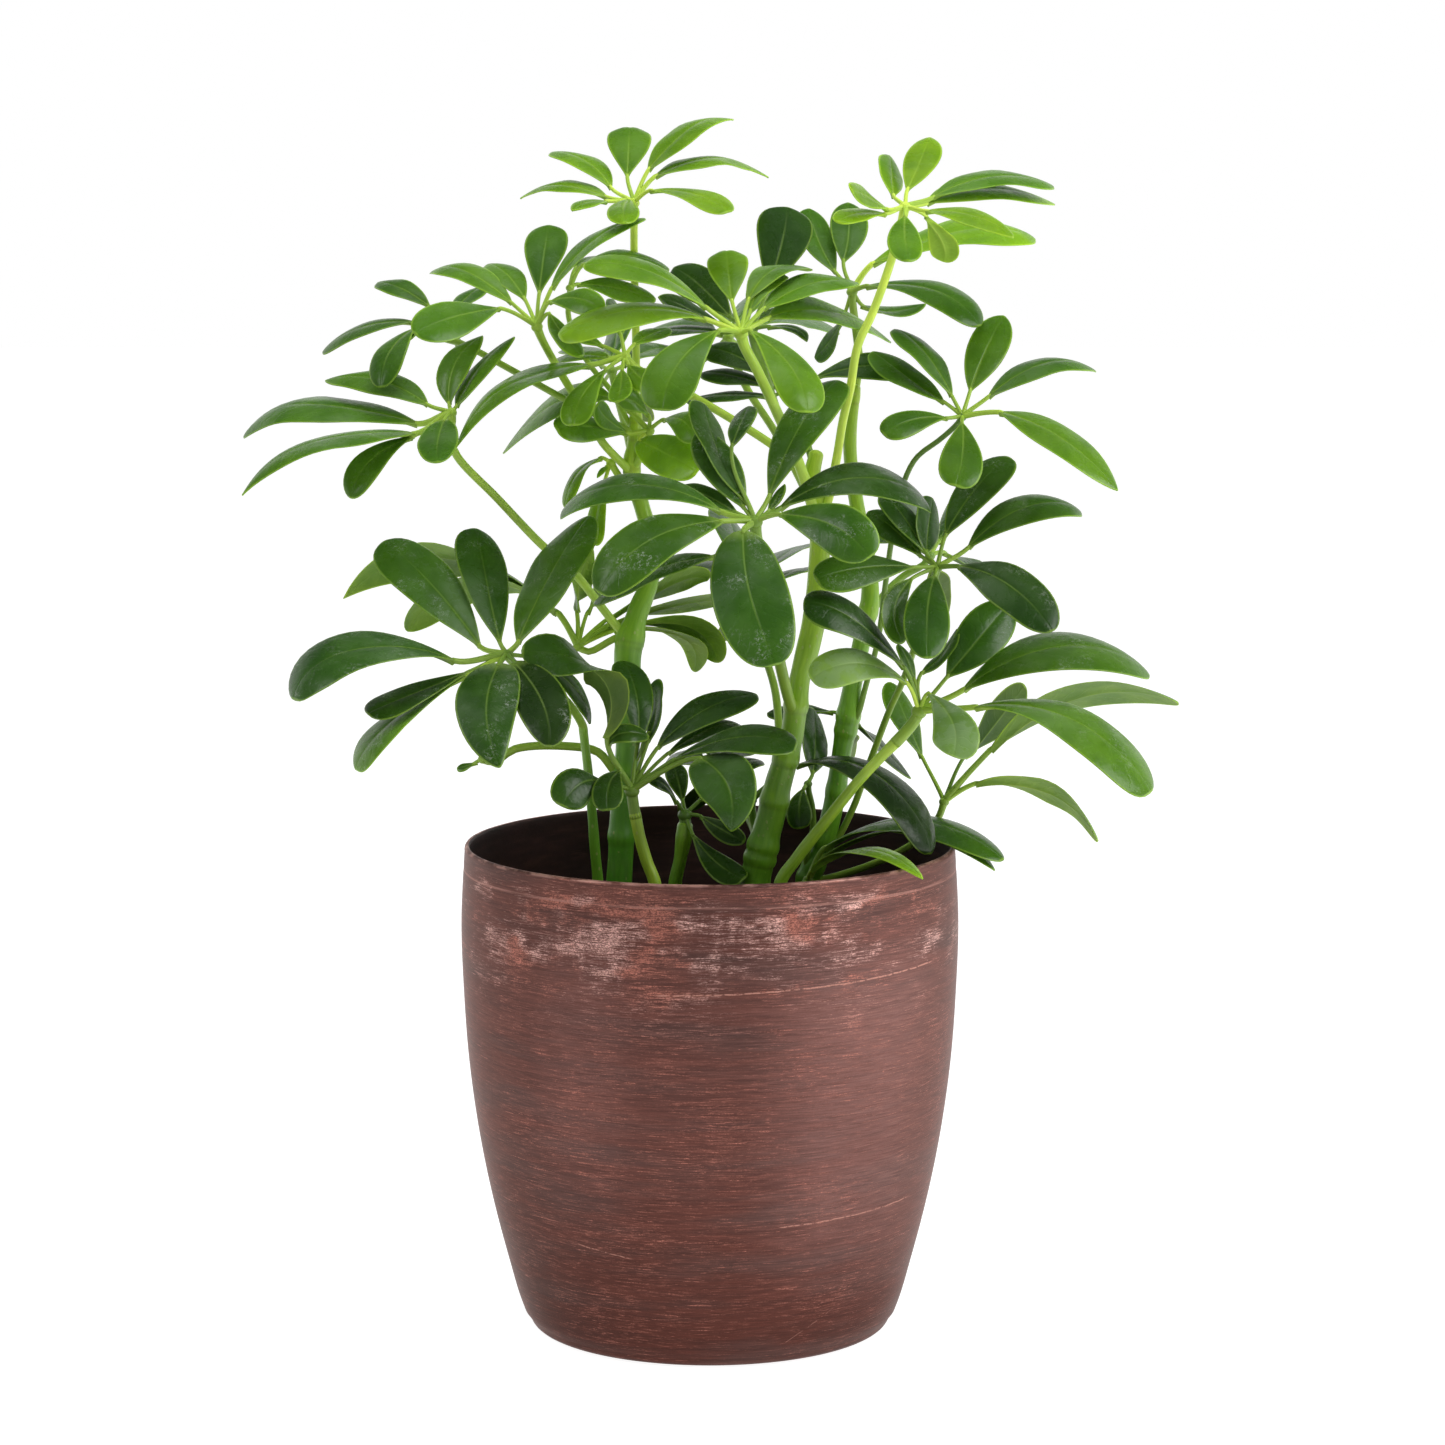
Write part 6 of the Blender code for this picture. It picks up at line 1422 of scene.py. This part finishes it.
def stem_mesh(name):
    pts = [p for p, r in stem_points(name)]
    rad = [r for p, r in stem_points(name)]
    foot, low = pts[0].copy(), pts[0].copy()
    foot[2] = SOIL_Z - 7.0
    low[2] = min(low[2], SOIL_Z + 2.0)
    if pts[0][2] > SOIL_Z + 3.0:
        pts, rad = [foot, low] + pts, [rad[0]*1.12, rad[0]*1.05] + rad
    else:
        pts, rad = [foot, low] + pts[1:], [rad[0]*1.12, rad[0]*1.05] + rad[1:]
    line, par = smooth_path(pts, 0.9)
    rng = random.Random(name)
    marks = [(leaf.C, 1.0) for leaf in ALL if leaf.stem == name and not leaf.top]
    for u, v, y in EXTRA_NODES.get(name, []):
        marks.append((at(u, v, y), 0.8))
    r_out, tones, extra = [], [], []
    top_z = line[-1][2]
    for p, k in zip(line, par):
        i = min(len(rad)-2, int(k))
        f = k - i
        f = f*f*(3-2*f)
        r = rad[i]*(1-f) + rad[i+1]*f
        ring = scar = 0.0
        for c, s in marks:
            d = float(np.linalg.norm(p - c))
            side = (p - c) @ unit(line[-1] - line[0])
            ring = max(ring, s*gauss(d, 2.6))
            scar = max(scar, s*gauss(side + 2.6, 0.55)*gauss(d, 6.0))
        r *= 1.0 + 0.15*ring - 0.05*scar
        r += 0.10*noise.noise(Vector((p[0]*0.13, p[1]*0.13, p[2]*0.11)))
        h = (p[2] - SOIL_Z)/max(40.0, top_z - SOIL_Z)
        age = STEM_AGE.get(name, (0.9, 0.1))
        r_out.append(r)
        tones.append((min(1.0, max(0.0, age[0]*(1-h) + age[1]*h)), 0.37))
        extra.append((min(1.0, ring), min(1.0, scar)))
    # rounded top
    t = unit(line[-1] - line[-2])
    rt = r_out[-1]
    for k in range(1, 6):
        a = k*math.pi/2/5.5
        line.append(line[len(par)-1] + t*(rt*0.7*math.sin(a)))
        r_out.append(rt*math.cos(a))
        tones.append(tones[-1])
        extra.append(extra[-1])
    mesh = Mesh()
    tube(mesh, line, r_out, 24, 0, tones, extra)
    arr = mesh.v
    ob = mesh.build("fine_" + name, [STEM])
    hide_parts(name)
    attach(ob, "root")
    return ob


# How old each stem looks at the soil and at its top.  main_right is set lighter low down, in part a painted highlight
# for the bright strip down its side.
STEM_AGE = {"main_left": (0.85, 0.15), "main_centre": (0.62, 0.05), "main_right": (0.68, 0.18), "shoot_left": (0.7, 0.4),
            "shoot_front": (0.25, 0.1), "shoot_middle": (0.6, 0.3), "shoot_right": (0.5, 0.05)}
EXTRA_NODES = {"main_left": [(622, 836, 2)], "main_centre": [(796, 705, -4), (777, 800, -6)], "main_right": [(836, 790, 22), (850, 720, 22)]}


def soil_mesh():
    rng = random.Random("soil")
    mesh = Mesh()
    seg = 200
    rings = [0.0]
    while rings[-1] < 1.0:
        rings.append(min(1.0, rings[-1] + 0.017))
    R = inner_radius(134.6) - 0.7
    feet = [(stem_points(n)[0][0], stem_points(n)[0][1]) for n in STEMS]
    prev = None
    for q, k in enumerate(rings):
        r = k*R
        pts = []
        cnt = 1 if q == 0 else seg
        for i in range(cnt):
            a = 2*math.pi*i/seg
            x, y = r*math.cos(a), r*math.sin(a)
            z = SOIL_Z - 0.6 - 1.6*k**6
            v = Vector((x, y, 3.0))
            z += 1.5*noise.noise(v*0.045) + 0.9*noise.noise(v*0.13) + 0.55*noise.noise(v*0.33) + 0.45*abs(noise.noise(v*0.75))
            for (p, rr) in feet:
                d = math.hypot(x - p[0], y - p[1])
                z += 1.3*gauss(d, rr + 5.0)
            pts.append((x, y, z))
        cur = mesh.put(pts)
        if q == 1:
            for i in range(seg):
                mesh.face((prev[0], cur[i], cur[(i+1) % seg]))
        elif q > 1:
            for i in range(seg):
                j = (i+1) % seg
                mesh.face((prev[i], cur[i], cur[j], prev[j]))
        prev = cur
    # body of the mix down to the pot's floor
    for r, z in [(inner_radius(118.0) - 0.6, 118.0), (inner_radius(92.0) - 0.6, 92.0), (inner_radius(66.0) - 0.6, 66.0), (inner_radius(42.0) - 0.6, 42.0),
                 (inner_radius(23.0) - 0.6, 23.0), (inner_radius(11.0) - 1.4, 11.4), (inner_radius(9.0) - 6.2, 5.4)]:
        cur = mesh.put([(r*math.cos(2*math.pi*i/seg), r*math.sin(2*math.pi*i/seg), z) for i in range(seg)])
        for i in range(seg):
            j = (i+1) % seg
            mesh.face((prev[i], cur[i], cur[j], prev[j]))
        prev = cur
    mid = mesh.put([(0.0, 0.0, 5.4)])[0]
    for i in range(seg):
        mesh.face((prev[i], mid, prev[(i+1) % seg]))
    # bark chips, fibres and a few pale grains lying on it
    def ground(x, y):
        v = Vector((x, y, 3.0))
        k = math.hypot(x, y)/R
        z = SOIL_Z - 0.6 - 1.6*k**6
        z += 1.5*noise.noise(v*0.045) + 0.9*noise.noise(v*0.13) + 0.55*noise.noise(v*0.33) + 0.45*abs(noise.noise(v*0.75))
        for (p, rr) in feet:
            z += 1.3*gauss(math.hypot(x - p[0], y - p[1]), rr + 5.0)
        return z

    for n in range(1900):
        a, k = rng.uniform(0, 6.2832), math.sqrt(rng.random())
        x, y = k*(R-3.2)*math.cos(a), k*(R-3.2)*math.sin(a)
        kind = rng.random()
        if kind < 0.80:
            L, W, T = rng.uniform(0.8, 3.0), rng.uniform(0.6, 1.7), rng.uniform(0.3, 0.9)
            tone = rng.random()**1.7*0.8
        elif kind < 0.93:
            L, W, T = rng.uniform(2.5, 7.0), rng.uniform(0.15, 0.4), rng.uniform(0.12, 0.3)
            tone = rng.uniform(0.35, 0.92)
        else:
            L, W, T = rng.uniform(0.5, 1.2), rng.uniform(0.5, 1.1), rng.uniform(0.5, 0.9)
            tone = rng.uniform(0.93, 1.0)
        if math.hypot(x, y) + L > R - 1.0:
            continue
        z = ground(x, y) + T*0.25
        b = rng.uniform(0, 6.2832)
        X = unit([math.cos(b), math.sin(b), rng.uniform(-0.35, 0.35)])
        Y = unit(np.cross([rng.uniform(-0.3, 0.3), rng.uniform(-0.3, 0.3), 1.0], X))
        Z = np.cross(X, Y)
        P = np.array([x, y, z])
        ringv = []
        m = 7
        shape = [rng.uniform(0.75, 1.15) for _ in range(m)]
        for level, sc in ((-1.0, 0.72), (0.15, 1.0), (1.0, 0.6)):
            ringv.append(mesh.put([P + X*(L*0.5*sc*shape[i]*math.cos(2*math.pi*i/m)) + Y*(W*0.5*sc*shape[(i*3) % m]*math.sin(2*math.pi*i/m)) + Z*(T*0.5*level)
                                   for i in range(m)], tone=(tone, rng.random())))
        mesh.face(ringv[0][::-1], 1)
        mesh.face(ringv[-1], 1)
        for lo, hi in zip(ringv, ringv[1:]):
            for i in range(m):
                j = (i+1) % m
                mesh.face((lo[i], lo[j], hi[j], hi[i]), 1)
    ob = mesh.build("fine_potting_mix", [SOIL, CHIPS])
    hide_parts("potting_mix")
    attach(ob, "root")
    return ob


def pot_mesh():
    """Thin-walled round pot: foot, bellied wall, fine line under the lip, dark inside."""
    outer = [(0.0, 0.9), (40.0, 0.9), (52.0, 0.7), (55.5, 0.15), (57.6, 0.0)]
    for k in range(1, 7):
        a = k*math.pi/2/7
        outer.append((57.6 + 3.6*math.sin(a) + 0.25*k/7, 3.3*(1-math.cos(a))))
    outer.append((61.9, 3.6))
    n = 90
    for k in range(1, n):
        z = 3.6 + (162.6-3.6)*k/n
        r = spline_radius(z)
        # fine step and line under the lip
        r -= 0.10*gauss(z - 157.3, 0.45) - 0.06*gauss(z - 156.4, 0.5)
        outer.append((r, z))
    outer += [(82.62, 162.9), (82.66, 163.6), (82.52, 164.25), (82.2, 164.72), (81.75, 164.88), (81.3, 164.78), (80.98, 164.4), (80.85, 163.8)]
    inner = []
    m = 60
    for k in range(1, m+1):
        z = 163.8 + (10.5-163.8)*k/m
        inner.append((spline_inner(z), z))
    inner += [(spline_inner(10.5) - 0.9, 8.2), (spline_inner(10.5) - 2.9, 6.2), (spline_inner(10.5) - 5.8, POT_FLOOR), (0.0, POT_FLOOR)]
    prof = outer + inner
    V, F = lathe(prof, 192)
    lip = len(outer) - 3
    mesh = Mesh()
    mesh.put(V)
    seg = 192
    rows = len(prof) - 1
    fi = 0
    for row in range(rows):
        for i in range(seg):
            mesh.face(F[fi], 0 if row < lip else 1)
            fi += 1
    ob = mesh.build("fine_planter", [POT_OUT, POT_IN])
    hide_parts("planter")
    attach(ob, "root")
    return ob


def spline_radius(z):
    """Smooth curve through the wall's measured radii."""
    zs = [a*POT_H for a, b in POT_R]
    rs = [b for a, b in POT_R]
    i = max(0, min(len(zs)-2, int(np.searchsorted(zs, z)) - 1))
    def slope(k):
        if k <= 0:
            return (rs[1]-rs[0])/(zs[1]-zs[0])
        if k >= len(zs)-1:
            return (rs[-1]-rs[-2])/(zs[-1]-zs[-2])
        a, b = (rs[k]-rs[k-1])/(zs[k]-zs[k-1]), (rs[k+1]-rs[k])/(zs[k+1]-zs[k])
        wa, wb = zs[k+1]-zs[k], zs[k]-zs[k-1]
        return (a*wa + b*wb)/(wa+wb)
    h = zs[i+1]-zs[i]
    t = (z-zs[i])/h
    m0, m1 = slope(i)*h, slope(i+1)*h
    return (2*t**3-3*t*t+1)*rs[i] + (t**3-2*t*t+t)*m0 + (-2*t**3+3*t*t)*rs[i+1] + (t**3-t*t)*m1


def spline_inner(z):
    return spline_radius(z) - (1.6 + 1.4*max(0.0, min(1.0, (160.0 - z)/60.0)))


# ---------------------------------------------------------------------------
# Build everything
# ---------------------------------------------------------------------------
ALL = [Leaf(k) for k in LEAVES]
for key in LEAVES:
    leaf_mesh(key)
for name in STEMS:
    stem_mesh(name)
soil_mesh()
pot_mesh()

# ---------------------------------------------------------------------------
# Floor, light and camera
# ---------------------------------------------------------------------------
scene = bpy.context.scene
scene.view_settings.view_transform = "Standard"
scene.view_settings.look = "None"
scene.view_settings.exposure = 0.0
scene.view_settings.gamma = 1.0

bm = bmesh.new()
bmesh.ops.create_grid(bm, x_segments=8, y_segments=8, size=6.0)
floor_me = bpy.data.meshes.new("floor")
bm.to_mesh(floor_me)
bm.free()
floor = bpy.data.objects.new("floor", floor_me)
scene.collection.objects.link(floor)
floor.location = (0.0, 0.0, -0.0004)
fm = Graph("floor_white")
mixer = fm.node("ShaderNodeAddShader")
em = fm.node("ShaderNodeEmission")
em.inputs["Color"].default_value = (1.0, 1.0, 1.0, 1.0)
floor_x, floor_y, _ = fm.split(fm.where())
near = fm.step(0.50, 0.20, floor_y)
glow = fm.add(fm.mul(near, fm.step(0.30, 0.60, floor_x), 1.1), fm.mul(near, fm.step(-0.36, -0.60, floor_x), -0.5))
fm.put(em.inputs["Strength"], fm.mul(fm.step(-0.85, -0.35, floor_y, 0.22, 0.93), fm.add(glow, 1.0)))
fm.put(mixer.inputs[0], fm.shader((0.35, 0.35, 0.35, 1.0), 0.9, Specular_IOR_Level=0.0))
fm.put(mixer.inputs[1], em.outputs[0])
floor_me.materials.append(fm.out(mixer.outputs[0]))

world = bpy.data.worlds.new("studio")
scene.world = world
world.use_nodes = True
wn, wl = world.node_tree.nodes, world.node_tree.links
bg = wn["Background"]
bg.inputs["Strength"].default_value = 1.0
wc = wn.new("ShaderNodeTexCoord")
ws = wn.new("ShaderNodeSeparateXYZ")
wl.new(wc.outputs["Generated"], ws.inputs[0])


def world_math(op, a, b):
    n = wn.new("ShaderNodeMath")
    n.operation = op
    n.inputs[2].default_value = 0.5
    for k, v in enumerate((a, b)):
        if isinstance(v, float):
            n.inputs[k].default_value = v
        else:
            wl.new(v, n.inputs[k])
    return n.outputs[0]


def world_ramp(fac, stops):
    n = wn.new("ShaderNodeValToRGB")
    els = n.color_ramp.elements
    els[0].position, els[0].color = stops[0]
    els[1].position, els[1].color = stops[1]
    for p, c in stops[2:]:
        els.new(p).color = c
    wl.new(fac, n.inputs["Fac"])
    return n.outputs["Color"]


# white backdrop behind, rising well above the plant; a dim room in front
back = world_ramp(world_math("MULTIPLY_ADD", ws.outputs["Y"], 0.5), [(0.54, (0.0, 0.0, 0.0, 1.0)), (0.72, (1.0, 1.0, 1.0, 1.0))])
rise = world_ramp(ws.outputs["Z"], [(0.38, (1.0, 1.0, 1.0, 1.0)), (0.62, (0.14, 0.14, 0.14, 1.0))])
dim = world_ramp(ws.outputs["Z"], [(0.03, (0.55, 0.55, 0.55, 1.0)), (0.25, (0.18, 0.18, 0.185, 1.0))])
wm = wn.new("ShaderNodeMix")
wm.data_type = "RGBA"
wl.new(back, wm.inputs["Factor"])
wl.new(dim, wm.inputs[6])
wl.new(rise, wm.inputs[7])
wl.new(wm.outputs[2], bg.inputs["Color"])


def softbox(name, loc, target, size, power, color=(1.0, 1.0, 1.0)):
    data = bpy.data.lights.new(name, "AREA")
    data.shape = "RECTANGLE"
    data.size, data.size_y = size
    data.energy = power
    data.color = color
    ob = bpy.data.objects.new(name, data)
    ob.location = loc
    d = Vector(target) - Vector(loc)
    ob.rotation_euler = d.to_track_quat("-Z", "Y").to_euler()
    scene.collection.objects.link(ob)
    return ob


softbox("left", (-1.20, -0.60, 1.05), (0.0, 0.0, 0.22), (0.4, 1.0), 5.5)
softbox("right", (1.15, -0.55, 0.95), (0.0, 0.0, 0.2), (0.9, 1.0), 14.0)
overhead = softbox("top", (0.05, 0.15, 1.55), (0.0, 0.0, 0.25), (0.9, 0.8), 14.0)
overhead.visible_glossy = False

cam = bpy.data.cameras.new("camera")
cam.sensor_width = 36.0
cam.sensor_fit = "AUTO"
cam.lens = 36.0*FOC/1445.0
cam.clip_start, cam.clip_end = 0.05, 50.0
eye = bpy.data.objects.new("camera", cam)
eye.location = (CAM[0]*0.001, CAM[1]*0.001, CAM[2]*0.001)
eye.rotation_euler = (math.radians(90.0) - PITCH, 0.0, 0.0)
scene.collection.objects.link(eye)
scene.camera = eye
